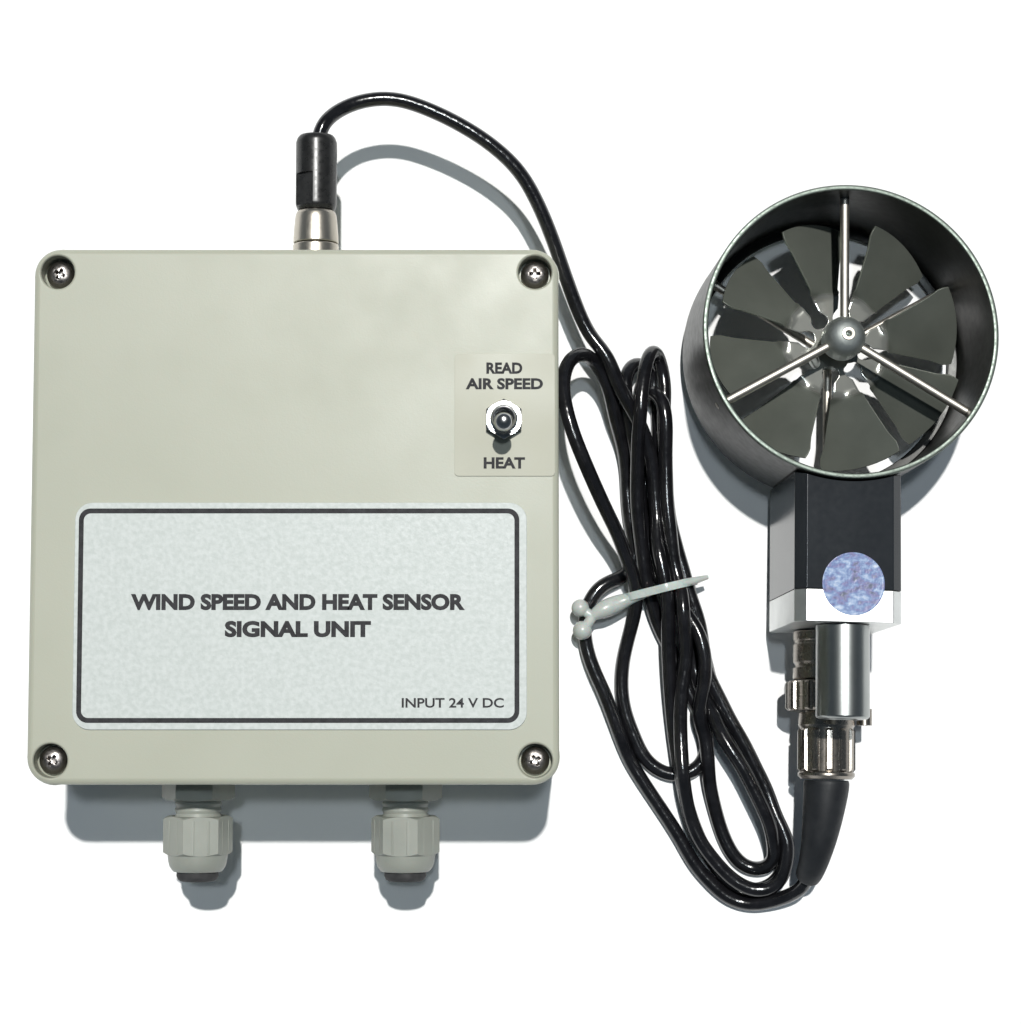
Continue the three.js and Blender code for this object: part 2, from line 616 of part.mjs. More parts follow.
function addHandleEnd(head) {
  const stub = turnedDown([[0, 69.4], [STUB_R, 69.4], [STUB_R, 90.7], [STUB_R - 0.7, 91.4], [0, 91.4]], 36);
  piece(head, "handle_stub", stub.translate(0, 0, STUB_W), chrome);
  const socket = turnedDown([[0, 69.4], [8.2, 69.4], [8.2, 77.2], [7.7, 77.5], [7.7, 78.1], [8.2, 78.4], [8.2, 81.2], [0, 81.2]], 32);
  piece(head, "probe_socket", socket.translate(0, 0, JACK_W), nickel);
  const plug = new THREE.Group();
  plug.position.set(0, 0, JACK_W);
  head.add(plug);
  const knurl = cut(
    prismDown(ribbedOutline(28, 10, 9.4), 81.6, 88.8),
    rod(5.6, [0, -80, 0], [0, -90, 0], 32),
  );
  const lug = cut(rod(1.9, [9.3, -88.6, 0], [9.3, -92, 0], 16), rod(0.9, [9.3, -90, 0], [9.3, -93, 0], 12));
  cordPiece(plug, "plug_coupling_ring", joined(knurl, lug), nickel);
  const fluted = prismDown(ribbedOutline(12, 7, 6.4), 93, 103.4);
  const core = turnedDown([
    [0, 84.4], [5.2, 84.4], [5.2, 89.2], [6.7, 89.2], [6.9, 92.4], [6.5, 92.8], [6.5, 103.5], [6.9, 103.7],
    [6.9, 104.6], [6.2, 105.2], [0, 105.2],
  ], 24);
  cordPiece(plug, "plug_body", joined(core, fluted), nickel);
  const path = [
    [0, -105.6, 0], [0, -107.4, 0], [-0.4, -111, -0.1], [-1, -116, -0.5], [-1.7, -121, -1.4], [-2.5, -125.8, -3.4],
    [-3.2, -128.9, -6.4],
  ];
  const radii = [5.6, 5.5, 5.2, 4.9, 4.5, 4.1, 3.8];
  const centres = path.map((point) => new THREE.Vector3(...point));
  cordPiece(plug, "cord_boot", loft(centres, radii), blackRubber);
}

// ---- cord ---------------------------------------------------------------

function tube(points, stepLength) {
  const path = new THREE.CatmullRomCurve3(points.map((p) => new THREE.Vector3(...p)), false, "centripetal");
  const section = new THREE.Shape();
  for (let k = 0; k < 8; k += 1) {
    const angle = (k * Math.PI) / 4;
    const call = k === 0 ? "moveTo" : "lineTo";
    section[call](CORD_R * Math.cos(angle), CORD_R * Math.sin(angle));
  }
  const steps = Math.round(path.getLength() / stepLength);
  return new THREE.ExtrudeGeometry(section, { steps, extrudePath: path, bevelEnabled: false });
}

// The tied hank: a flat bundle, wider where the loops spread at its lower end.
const HANK = [
  [84.5, 44], [90.5, 32], [91.5, 8], [93, -14], [99, -32], [109, -50], [117, -68], [119.5, -80],
  [112, -87.2], [103, -87.2], [94, -80], [86, -62], [78, -42], [75, -20], [76, -6], [78, 16], [79, 36],
];
const HANK_Z0 = 1.8;
const HANK_Z1 = 9.8;

function hank() {
  const outline = new THREE.CatmullRomCurve3(HANK.map(([x, y]) => new THREE.Vector3(x, y, 0)), true, "centripetal");
  const shape = new THREE.Shape(outline.getPoints(64).slice(0, -1).map((p) => new THREE.Vector2(p.x, p.y)));
  return prism(shape, HANK_Z0, HANK_Z1);
}

// Nylon strap round the hank, its tail and the two ball ends.
function cableTie() {
  const strap = slab(-11.4, 11.4, -1.2, 1.2, 0.25, HANK_Z1 + 1.4);
  const inside = slab(-10.5, 10.5, -2, 2, HANK_Z0 - GAP, HANK_Z1 + GAP);
  const tail = slab(-20, -11, -1, 1, 5, 6.6);
  const ballA = new THREE.SphereGeometry(2.6, 16, 10).translate(-20.6, 2.3, 5.8);
  const ballB = new THREE.SphereGeometry(2.6, 16, 10).translate(-20.6, -2.3, 5.8);
  const tip = slab(11, 14, -0.8, 0.8, 7.6, 8.8);
  const band = cut(strap, inside);
  return joined(band, tail, ballA, ballB, tip).rotateZ(0.24).translate(84.4, -15.4, 0);
}

function addCord(group) {
  const outOfBox = [
    [2.6, 94.9, 28], [3.6, 98.6, 28], [7.2, 103.4, 27.4], [13, 106, 26.8], [20.5, 106.4, 26.2], [29, 103.8, 25.6],
    [37, 99.6, 25], [45, 93.6, 24.2], [51.4, 86.6, 23.2], [56, 78.6, 22], [59.6, 70, 20.6], [63.2, 60, 18.6],
    [67.5, 49.5, 17.2], [73, 40, 16], [78, 31, 14.6], [81, 25, 12.6], [83, 19, 11.9],
  ];
  cordPiece(group, "cord_from_box", tube(outOfBox, 7), blackRubber);
  cordPiece(group, "cord_hank", hank(), blackRubber);
  cordPiece(group, "cable_tie", cableTie(), nylon);
  const toHead = [
    [121.2, -86, 9.6], [120.3, -88.2, 8.3], [117.8, -90.2, 7.2], [114.6, -91.5, 6.2], [110.5, -92, 5.2], [106.5, -91.4, 4.6],
  ];
  cordPiece(group, "cord_to_head", tube(toHead, 5), blackRubber);
}

// ---- assembly -----------------------------------------------------------

addTransmitter(root);
addSwitch(root);
addGland(root, "left", GLAND_X[0]);
addGland(root, "right", GLAND_X[1]);
addTopConnector(root);
addVaneHead(root);
addCord(root);

// The frame's origin is the middle of the footprint of everything but the cord.
root.updateMatrixWorld(true);
const footprint = new THREE.Box3();
root.traverse((object) => {
  if (object.isMesh && !cordPieces.includes(object.name)) {
    footprint.expandByObject(object, true);
  }
});
const middle = footprint.getCenter(new THREE.Vector3());
root.position.set(-middle.x, -middle.y, 0);

export default root;
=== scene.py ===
import json
from math import atan2, cos, pi, radians, sin, sqrt

import bpy
import numpy as np
from mathutils import Matrix, Vector


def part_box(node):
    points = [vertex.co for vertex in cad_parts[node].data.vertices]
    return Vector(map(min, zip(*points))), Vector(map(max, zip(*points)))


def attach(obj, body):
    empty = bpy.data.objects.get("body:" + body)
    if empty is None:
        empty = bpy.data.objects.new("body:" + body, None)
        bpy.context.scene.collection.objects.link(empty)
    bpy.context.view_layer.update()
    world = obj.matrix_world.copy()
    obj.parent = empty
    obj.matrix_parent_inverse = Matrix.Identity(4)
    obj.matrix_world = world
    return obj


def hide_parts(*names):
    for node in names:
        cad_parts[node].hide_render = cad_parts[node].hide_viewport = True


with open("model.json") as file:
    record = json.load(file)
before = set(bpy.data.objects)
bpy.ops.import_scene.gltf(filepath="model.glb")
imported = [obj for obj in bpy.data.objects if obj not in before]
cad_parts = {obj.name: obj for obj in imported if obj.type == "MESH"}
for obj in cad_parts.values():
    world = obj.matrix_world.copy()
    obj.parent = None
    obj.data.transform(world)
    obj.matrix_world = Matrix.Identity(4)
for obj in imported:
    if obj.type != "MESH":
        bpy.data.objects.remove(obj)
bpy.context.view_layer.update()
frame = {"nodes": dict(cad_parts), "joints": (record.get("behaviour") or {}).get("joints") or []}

MM = 0.001

# ---- Table, camera and light ----
# Both units lie on a pale table, seen from almost straight above. The sun stands high beyond
# the box's upper edge, and a pale blue sky fills the shadows.

base_low, base_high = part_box("enclosure_base")
BOX_MIDDLE = Vector(((base_low.x + base_high.x) / 2, (base_low.y + base_high.y) / 2, 0))

camera_data = bpy.data.cameras.new("camera")
camera_data.sensor_fit = "HORIZONTAL"
camera_data.sensor_width = 36
camera_data.lens = 79.33
camera = bpy.data.objects.new("camera", camera_data)
camera.location = BOX_MIDDLE + Vector((49, -38, 565)) * MM
camera.rotation_euler = (radians(4.33), 0, 0)
bpy.context.collection.objects.link(camera)
bpy.context.scene.camera = camera
bpy.context.scene.view_settings.view_transform = "Standard"


def add_sun(name, elevation, sideways, strength, softness, color):
    data = bpy.data.lights.new(name, "SUN")
    data.energy = strength
    data.angle = radians(softness)
    data.color = color
    sun = bpy.data.objects.new(name, data)
    sun.rotation_euler = (radians(elevation - 90), radians(sideways), 0)
    bpy.context.collection.objects.link(sun)


add_sun("sun", 73, 2, 3.3, 1.2, (1.0, 0.985, 0.95))
add_sun("bright_haze", 83, 2, 0.42, 3, (0.82, 0.93, 1.0))


def node(tree, kind, feed=None, **values):
    """A shader node fed by an output, with its plain inputs, whose spaces are low lines here."""
    new = tree.nodes.new("ShaderNode" + kind)
    for socket, value in values.items():
        new.inputs[socket.replace("_", " ")].default_value = value
    if feed:
        tree.links.new(feed, new.inputs["Height" if kind == "Bump" else 0])
    return new


def set_ends(ramp, dark, light, start, end):
    for stop, color, position in zip(ramp.color_ramp.elements, (dark, light), (start, end)):
        stop.position = position
        stop.color = (*color, 1)


sky = bpy.data.worlds.new("sky")
sky.use_nodes = True
sky_tree = sky.node_tree
background = sky_tree.nodes["Background"]
height = node(sky_tree, "SeparateXYZ", node(sky_tree, "TexCoord").outputs["Generated"])
sky_ramp = node(sky_tree, "ValToRGB", height.outputs["Z"])
set_ends(sky_ramp, (0.55, 0.65, 0.75), (0.17, 0.23, 0.29), 0.0, 0.75)
sky_tree.links.new(sky_ramp.outputs["Color"], background.inputs["Color"])
background.inputs["Strength"].default_value = 0.24
bpy.context.scene.world = sky


def clear_selection():
    if bpy.context.object and bpy.context.object.mode != "OBJECT":
        bpy.ops.object.mode_set(mode="OBJECT")
    bpy.ops.object.select_all(action="DESELECT")


def shader_of(material):
    return material.node_tree.nodes["Principled BSDF"]


def surface(name, color, roughness, metallic=0.0, shine=0.5, milky=(0.0, 0.05)):
    """A new material with its plain values. milky is how much light sinks in, and how far."""
    material = bpy.data.materials.new(name)
    material.use_nodes = True
    for socket, value in {
        "Base Color": (*color, 1), "Roughness": roughness, "Metallic": metallic,
        "Specular IOR Level": shine, "Subsurface Weight": milky[0], "Subsurface Scale": milky[1],
    }.items():
        shader_of(material).inputs[socket].default_value = value
    return material


def grain(material, per_metre, detail, stretch=(1, 1, 1)):
    """Noise on the piece's own coordinates, finer as per_metre grows."""
    tree = material.node_tree
    mapping = node(tree, "Mapping", node(tree, "TexCoord").outputs["Object"], Scale=stretch)
    noise = node(tree, "TexNoise", mapping.outputs["Vector"], Scale=per_metre, Detail=detail)
    return noise.outputs["Fac"]


def to_shader(material, output, socket):
    material.node_tree.links.new(output, shader_of(material).inputs[socket])


def roughen(material, size, low, high):
    """Spreads the roughness from low to high by a grain of this size."""
    spread = node(material.node_tree, "MapRange", grain(material, *size),
                  From_Min=0.3, From_Max=0.7, To_Min=low, To_Max=high)
    to_shader(material, spread.outputs["Result"], "Roughness")


def tint(material, size, dark, light, start=0.3, end=0.7):
    """Colours the material from dark to light by a grain of this size."""
    ramp = node(material.node_tree, "ValToRGB", grain(material, *size))
    set_ends(ramp, dark, light, start, end)
    to_shader(material, ramp.outputs["Color"], "Base Color")
    return ramp


def emboss(material, size, strength, depth):
    """Lets a grain of this size stand out, depth in metres."""
    tree = material.node_tree
    bump = node(tree, "Bump", grain(material, *size), Strength=strength, Distance=depth)
    to_shader(material, bump.outputs["Normal"], "Normal")


clear_selection()
bpy.ops.mesh.primitive_grid_add(x_subdivisions=8, y_subdivisions=8, size=6, location=(0, 0, 0))
table = bpy.context.object
table.name = "table"
bpy.ops.object.transform_apply()
table_paint = surface("pale_table", (0.93, 0.935, 0.94), 0.85)
tint(table_paint, (60, 4), (0.92, 0.925, 0.93), (0.95, 0.955, 0.96))
table.data.materials.append(table_paint)

# ---- Cord ----
# A limp round cord, 3.5 mm thick, with a smooth black jacket. It leaves the plug on the box,
# drops beside it, and is laid in long loops that the tie gathers, then goes up into the boot.

CORD_D = 3.5
LAID = [  # out of the plug
    (2.2, 91.5, 28), (2.7, 94.7, 28), (4.4, 98, 28), (8.2, 101.6, 27.4), (13.8, 103.8, 26.8),
    (21, 104.2, 26.2),
    (29, 101.8, 25.6), (37, 98, 25), (45, 92.8, 24.2), (51.4, 86.6, 23.2), (56, 78.6, 22), (59.6, 70, 20.6),
    (63.2, 60, 18.6), (67.5, 49.5, 17.2),
    # first run down
    (78, 31, 15), (80.5, 26.5, 12.5), (82.5, 22.5, 11), (84, 17.5, 10), (85.5, 10, 9.5), (86.5, 2, 9.5),
    (87, -8, 10.5), (88, -16.5, 10.5), (88, -27.5, 9.5), (88.5, -38.5, 8), (89.5, -49.5, 6.5),
    (91, -60, 5.5),
    (93, -68.5, 3.5), (96, -77, 2), (100.5, -84, 2), (104.5, -88.5, 2),
    # and up
    (110, -89.5, 2), (115, -87.5, 2), (117, -82, 2.5), (116, -75, 3), (112, -66, 3), (108, -57, 3),
    (104, -48, 2.5), (99.5, -40, 2), (96.5, -30, 2), (93.5, -20, 2), (90.5, -10, 2), (88.5, 0, 2),
    (87, 12.5, 2), (86.5, 23, 2),
    # second run down
    (86.5, 31, 1.9), (85.5, 38, 2.6), (82.5, 42.5, 5.5), (79, 41.5, 9.5), (77.5, 35.5, 12), (78.5, 27, 11),
    (80.5, 17.5, 6.5), (82, 5, 5.5), (85, -7.5, 5.5), (90, -16.5, 6), (95, -24.5, 8.5), (97, -31.5, 9),
    (97, -40, 8), (97.5, -49.5, 6.5), (98, -61, 5.5), (99.5, -68, 5), (101.5, -75, 3.2), (104.5, -81, 2.2),
    # and up
    (109, -85, 2.2), (113.5, -84, 4.5), (114.5, -79, 8.5), (112.5, -72.5, 11.5), (109, -65, 12),
    (105.5, -58, 12),
    (101.5, -52, 11.5), (98.5, -45.5, 9.5), (96, -37.5, 5.5), (95, -27.5, 5.5), (92, -17.5, 5.5),
    (89, -7.5, 5.5),
    (85.5, 2.5, 5.5), (82.5, 12, 2.6),
    # third run down
    (80.5, 21, 1.9), (80, 28, 2.6), (81, 33.5, 5), (83.5, 36, 8.5), (86.3, 33.5, 11.3), (87.5, 27, 12),
    (87.5, 18, 11), (87.5, 4.5, 9), (88.5, -4, 9.5), (90, -11.5, 10), (91.5, -18.5, 10.5),
    (92.5, -27.5, 10.5),
    (92, -34.5, 10.5), (91, -42.5, 10), (91, -52, 9), (91.5, -62, 9), (93, -69.5, 7.5), (95.5, -76.5, 5.5),
    (99, -81.5, 5.5), (103, -86, 5.5), (107, -88.5, 5.5), (111, -89.5, 6),
    # and up
    (115, -88, 7.5), (116.5, -82.5, 9), (116.5, -77.5, 9), (114.5, -71.5, 8.5), (112.5, -65, 7),
    (109.5, -59, 6.5),
    (107, -53.5, 6.5), (103.5, -47.5, 6), (100, -41.5, 5.5), (97.5, -35.5, 5.5), (96, -27.5, 5.5),
    (94, -19.5, 5.5),
    (91.5, -11.5, 5.5), (90, -7.5, 5.5), (89, -1.5, 5.5), (88, 6, 5.5), (87.5, 13.5, 5.5), (87.5, 21, 5),
    # top loop
    (87, 29, 4.5), (87, 36.5, 4), (86.5, 43, 6), (85, 45.5, 10), (83, 42, 14.5), (81.5, 35, 16.5),
    (81, 30.5, 16.5), (80.5, 22.5, 14), (80.5, 15.5, 11.5), (80.5, 7, 9.5), (81.5, -3, 8.5), (83, -12.5, 7),
    # short loop
    (85.5, -22.5, 5.5), (89.5, -31, 4), (94, -40, 2.5), (97, -48, 2), (98, -54.5, 2), (96, -59.5, 2),
    (92, -61.5, 2), (86.5, -60, 2), (82, -56.5, 2), (79, -50, 2), (77, -42.5, 3), (77, -33.5, 4.5),
    (78.5, -26.5, 5.5), (80, -20, 7.5), (80, -14.5, 10.5), (78, -9, 14.5), (75.2, -2, 19),
    # loop by the box
    (72, 4, 23.5), (67.5, 13.5, 27.5), (63.8, 22.8, 28.5), (62, 30.5, 27.5), (62, 36.5, 25),
    (64.4, 41.6, 22),
    (68, 43.2, 19), (71.2, 40.4, 16.5), (74, 33, 13), (76.5, 26, 9.5), (78, 17.5, 6),
    (78.5, 7.5, 3), (80, -1, 2), (80, -7.5, 3), (78, -12, 4.5),
    # last run down
    (74, -12.5, 6), (71, -14.5, 6.5), (68.5, -18.5, 6.5), (67.5, -23, 6), (68, -29.5, 6), (70, -35.5, 6),
    (72.5, -41, 6), (74.5, -46.5, 5.5), (77, -52, 5), (79.5, -58.5, 3.5), (82.5, -63.5, 2), (85.5, -68, 2),
    (91, -76.5, 2), (95, -83.5, 2), (100, -88.5, 2.5), (104, -91, 3), (108, -92.5, 3.9),
    # up into the boot
    (110.5, -92, 5.2), (114.6, -91.5, 6.2), (117.8, -90.2, 7.2), (120.3, -88.2, 8.3), (121.4, -85.9, 9.8),
    (122.1, -83.5, 11.8),
]


def smooth_path(points, step):
    """Points a step apart along a smooth curve through the given ones."""
    def between(t, start, end, first, second):
        return (end - t) / (end - start) * first + (t - start) / (end - start) * second

    given = np.array(points, float)
    given = np.vstack([2 * given[0] - given[1], given, 2 * given[-1] - given[-2]])
    knots = np.concatenate([[0], np.cumsum(np.linalg.norm(np.diff(given, axis=0), axis=1) ** 0.5)])
    dense = []
    for i in range(1, len(given) - 2):
        k0, k1, k2, k3 = knots[i - 1:i + 3]
        p0, p1, p2, p3 = given[i - 1:i + 3]
        for t in np.linspace(k1, k2, 16, endpoint=False):
            a1 = between(t, k0, k1, p0, p1)
            a2 = between(t, k1, k2, p1, p2)
            a3 = between(t, k2, k3, p2, p3)
            b1 = between(t, k0, k2, a1, a2)
            b2 = between(t, k1, k3, a2, a3)
            dense.append(between(t, k1, k2, b1, b2))
    dense = np.array(dense + [given[-2]])
    run = np.concatenate([[0], np.cumsum(np.linalg.norm(np.diff(dense, axis=0), axis=1))])
    places = np.linspace(0, run[-1], int(round(run[-1] / step)) + 1)
    return np.column_stack([np.interp(places, run, dense[:, axis]) for axis in range(3)])


def sag(line):
    """How far each point lies from the middle of its two neighbours."""
    off = np.zeros_like(line)
    off[1:-1] = (line[:-2] + line[2:]) / 2 - line[1:-1]
    return off


def settle(laid, thickness, step, rounds=400):
    """Lets the laid cord come to rest: strands push apart, sink and stay stiff, ends held."""
    touching = 1.01 * thickness
    tightest = 2.4 * thickness
    sink, stiffness, ease_share, held = 0.02, 0.15, 0.8, 4
    hold_place = np.array([0.03, 0.03, 0.008])
    line = laid.copy()
    count = len(line)
    near_along = np.abs(np.subtract.outer(np.arange(count), np.arange(count))) <= 5
    for _ in range(rounds):
        away = line[:, None, :] - line[None, :, :]
        apart = np.linalg.norm(away, axis=2)
        apart[near_along] = 99
        first, second = np.nonzero(apart < touching)
        push = np.zeros_like(line)
        touches = np.zeros(count)
        short = (touching - apart[first, second]) / 2
        way = away[first, second] / np.maximum(apart[first, second], 1e-6)[:, None]
        np.add.at(push, first, way * short[:, None])
        np.add.at(touches, first, 1)
        push /= np.maximum(touches, 1)[:, None]
        for _ in range(2):
            push[1:-1] = 0.25 * push[:-2] + 0.5 * push[1:-1] + 0.25 * push[2:]
        move = 1.3 * push
        move[:, 2] -= sink
        bend = sag(line)
        uneven = np.zeros_like(line)
        uneven[2:-2] = bend[2:-2] - (bend[1:-3] + bend[3:-1]) / 2
        move += stiffness * uneven
        move += (laid - line) * hold_place
        line[held:-held] += move[held:-held]
        for _ in range(3):
            middle = sag(line)
            curving = 2 * np.linalg.norm(middle, axis=1) / step ** 2
            ease = ease_share * np.clip(1 - (1 / tightest) / np.maximum(curving, 1e-9), 0, 1)
            line[held:-held] += (middle * ease[:, None])[held:-held]
        line[:, 2] = np.maximum(line[:, 2], thickness / 2)
    return line


STEP = 2.0
laid_cord = smooth_path(LAID, STEP)
cord_line = settle(laid_cord, CORD_D, STEP)



def round_curve(name, places, thickness, sides, steps, order, radii=None):
    """A round curve with flat ends that follows places, in metres."""
    data = bpy.data.curves.new(name, "CURVE")
    data.dimensions = "3D"
    data.bevel_depth = thickness
    data.bevel_resolution = sides
    data.use_fill_caps = True
    data.resolution_u = steps
    line = data.splines.new("NURBS")
    line.points.add(len(places) - 1)
    line.order_u = order
    line.use_endpoint_u = True
    for number, place in enumerate(places):
        line.points[number].co = (*place, 1)
        if radii:
            line.points[number].radius = radii[number]
    curve = bpy.data.objects.new(name, data)
    bpy.context.collection.objects.link(curve)
    return curve


cord_places = [Vector(place) * MM + BOX_MIDDLE for place in cord_line]
cord = round_curve("cord", cord_places, CORD_D / 2 * MM, 6, 2, 4)
jacket = surface("black_jacket", (0.008, 0.008, 0.009), 0.18)
tint(jacket, (300, 4), (0.005, 0.005, 0.006), (0.012, 0.012, 0.014))
roughen(jacket, (900, 4), 0.12, 0.24)
emboss(jacket, (380, 2), 0.35, 0.0004)
for socket, value in (("Coat Weight", 0.35), ("Coat Roughness", 0.12)):
    shader_of(jacket).inputs[socket].default_value = value
cord.data.materials.append(jacket)
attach(cord, "box_and_probe")
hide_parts("cord_from_box", "cord_hank", "cord_to_head")

# ---- Transmitter box: base ----
# The lower half of a moulded case in pale grey-green plastic, 4 mm walls. Four corner posts
# take the lid screws. Its lower wall has two gland holes and its upper wall one for the socket.

BOX_W, BOX_L, BOX_H = 120, 122, 56
SEAM = 38
WALL = 4
SCREW_SPOTS = [(-54.6, 55.6), (54.6, 55.6), (54.6, -55.6), (-54.6, -55.6)]
GLAND_X = (-25, 24.1)
SOCKET_X = 2
PORT_Z = 28
box_place = Matrix.Translation(BOX_MIDDLE)


def choose(piece):
    clear_selection()
    piece.select_set(True)
    bpy.context.view_layer.objects.active = piece


def in_edit(piece):
    choose(piece)
    bpy.ops.object.mode_set(mode="EDIT")


def leave_edit():
    bpy.ops.object.mode_set(mode="OBJECT")


def pick_all():
    bpy.ops.mesh.select_all(action="SELECT")


def extrude(x, y, z):
    """Pulls out the chosen part of a mesh by x, y and z in metres."""
    bpy.ops.mesh.extrude_region_move(TRANSFORM_OT_translate={"value": (x, y, z)})


def weld(nearest=1e-6):
    """Joins the corners nearer than this and turns every face outward."""
    bpy.ops.mesh.select_mode(type="VERT")
    pick_all()
    bpy.ops.mesh.remove_doubles(threshold=nearest)
    bpy.ops.mesh.normals_make_consistent(inside=False)
    leave_edit()


def pick_faces(piece, wanted):
    """Picks the faces for which wanted(face) is true."""
    bpy.ops.mesh.select_mode(type="FACE")
    bpy.ops.mesh.select_all(action="DESELECT")
    leave_edit()
    for face in piece.data.polygons:
        face.select = wanted(face)
    bpy.ops.object.mode_set(mode="EDIT")


def pick_edges(piece, wanted):
    """Picks the edges for which wanted(first corner, second corner) is true."""
    bpy.ops.mesh.select_mode(type="EDGE")
    bpy.ops.mesh.select_all(action="DESELECT")
    leave_edit()
    corners = piece.data.vertices
    for edge in piece.data.edges:
        edge.select = wanted(corners[edge.vertices[0]].co, corners[edge.vertices[1]].co)
    bpy.ops.object.mode_set(mode="EDIT")


def block(name, low, high, corner=0.0, steps=8):
    """A block between two corners in mm, its upright edges rounded."""
    clear_selection()
    size = [(b - a) * MM for a, b in zip(low, high)]
    middle = [(a + b) / 2 * MM for a, b in zip(low, high)]
    bpy.ops.mesh.primitive_cube_add(size=1, location=middle, scale=size)
    piece = bpy.context.object
    piece.name = name
    bpy.ops.object.transform_apply()
    if corner:
        in_edit(piece)
        pick_edges(piece, lambda a, b: abs(a.z - b.z) > 0.9 * size[2])
        bpy.ops.mesh.bevel(offset=corner * MM, segments=steps, offset_type="OFFSET")
        leave_edit()
    return piece


def cylinder(radius, low, high, spot=(0, 0), around=32):
    clear_selection()
    place = (spot[0] * MM, spot[1] * MM, (low + high) / 2 * MM)
    depth = (high - low) * MM
    bpy.ops.mesh.primitive_cylinder_add(vertices=around, radius=radius * MM, depth=depth, location=place)
    bpy.ops.object.transform_apply()
    return bpy.context.object


def turned(name, profile, around=64):
    """A piece off the lathe: (radius, height) pairs in mm, spun about Z."""
    clear_selection()
    bpy.ops.mesh.primitive_plane_add(size=MM)
    piece = bpy.context.object
    piece.name = name
    bpy.ops.object.mode_set(mode="EDIT")
    bpy.ops.mesh.select_mode(type="VERT")
    pick_all()
    bpy.ops.mesh.merge(type="CENTER")
    bpy.ops.transform.translate(value=(profile[0][0] * MM, 0, profile[0][1] * MM))
    for (r0, h0), (r1, h1) in zip(profile, profile[1:]):
        extrude((r1 - r0) * MM, 0, (h1 - h0) * MM)
    pick_all()
    bpy.ops.mesh.spin(steps=around, angle=2 * pi, center=(0, 0, 0), axis=(0, 0, 1))
    weld()
    return piece


def shift(x, y, z):
    """A move by x, y and z in mm."""
    return Matrix.Translation(Vector((x, y, z)) * MM)


def put(piece, place):
    """Moves a piece to its place and leaves its object at the origin."""
    choose(piece)
    piece.matrix_world = place @ piece.matrix_world
    bpy.ops.object.transform_apply()
    return piece


def apply_all(piece):
    choose(piece)
    for modifier in list(piece.modifiers):
        bpy.ops.object.modifier_apply(modifier=modifier.name)


def cut(piece, *tools, how="DIFFERENCE"):
    """Cuts the tools out of a piece, and removes them."""
    for tool in tools:
        change = piece.modifiers.new("cut", "BOOLEAN")
        change.operation = how
        change.solver = "EXACT"
        change.object = tool
        apply_all(piece)
        bpy.data.objects.remove(tool)
    return piece


def unite(piece, added):
    cut(piece, added, how="UNION")


def soften(piece, width, steps, angle):
    """Rounds the sharp edges by width in mm and shades the rest smooth."""
    if width:
        bevel = piece.modifiers.new("soft_edges", "BEVEL")
        bevel.width = width * MM
        bevel.segments = steps
        bevel.limit_method = "ANGLE"
        bevel.angle_limit = radians(angle)
        apply_all(piece)
    choose(piece)
    bpy.ops.object.shade_smooth_by_angle(angle=radians(angle + 8))
    even = piece.modifiers.new("even_shading", "WEIGHTED_NORMAL")
    even.keep_sharp = True
    apply_all(piece)
    return piece


def finished(
    piece, place, material, slot, *nodes, body="box_and_probe", edge=0.0, steps=2, angle=32,
):
    """Softens a piece, puts it in place and says what it is made of, rides on and stands for; slot is not
    used.
    """
    if edge is not None:
        soften(piece, edge, steps, angle)
    put(piece, place)
    piece.data.materials.clear()
    piece.data.materials.append(material)
    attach(piece, body)
    if nodes:
        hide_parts(*nodes)


def rotated(angle, axis="Z"):
    return Matrix.Rotation(angle, 4, axis)


def across(x, wall_y, z, facing):
    """A fitting's place on the box wall: its Z runs out of the wall, facing -1 or +1 along Y."""
    turn = rotated(-facing * pi / 2, "X")
    return shift(x, wall_y, z) @ turn


case_plastic = surface("pale_case_plastic", (0.42, 0.43, 0.355), 0.4, shine=0.3, milky=(0.03, 0.002))
tint(case_plastic, (16, 5), (0.405, 0.416, 0.337), (0.43, 0.44, 0.362))
roughen(case_plastic, (45, 4), 0.3, 0.42)
emboss(case_plastic, (2600, 2), 0.12, 0.0001)

POST_R = 6.4
POST_INWARD = 0.985
SCREW_HOLE_R = 2.3
base = block("base_moulding", (-BOX_W / 2, -BOX_L / 2, 0), (BOX_W / 2, BOX_L / 2, SEAM), 6, 12)
in_edit(base)
pick_faces(base, lambda face: face.normal.z < -0.9)
bpy.ops.mesh.bevel(offset=1.2 * MM, segments=4)
pick_faces(base, lambda face: face.normal.z > 0.9)
bpy.ops.mesh.inset(thickness=WALL * MM)
extrude(0, 0, -(SEAM - 3) * MM)
leave_edit()
for x, y in SCREW_SPOTS:
    post = cylinder(POST_R, 2, SEAM, (x * POST_INWARD, y * POST_INWARD))
    unite(base, post)
    cut(base, cylinder(SCREW_HOLE_R, 22, SEAM + 1, (x, y), 20))
for x in GLAND_X:
    cut(base, put(cylinder(6.4, -6, 1), across(x, -BOX_L / 2, PORT_Z, -1)))
cut(base, put(cylinder(4.7, -6, 1), across(SOCKET_X, BOX_L / 2, PORT_Z, 1)))
finished(base, box_place, case_plastic, "box_plastic", "enclosure_base")

# ---- Transmitter box: lid ----
# The upper half, moulded in the same plastic with softly rounded top edges. A deep round
# recess in each corner takes a screw, and a drilled hole takes the switch.

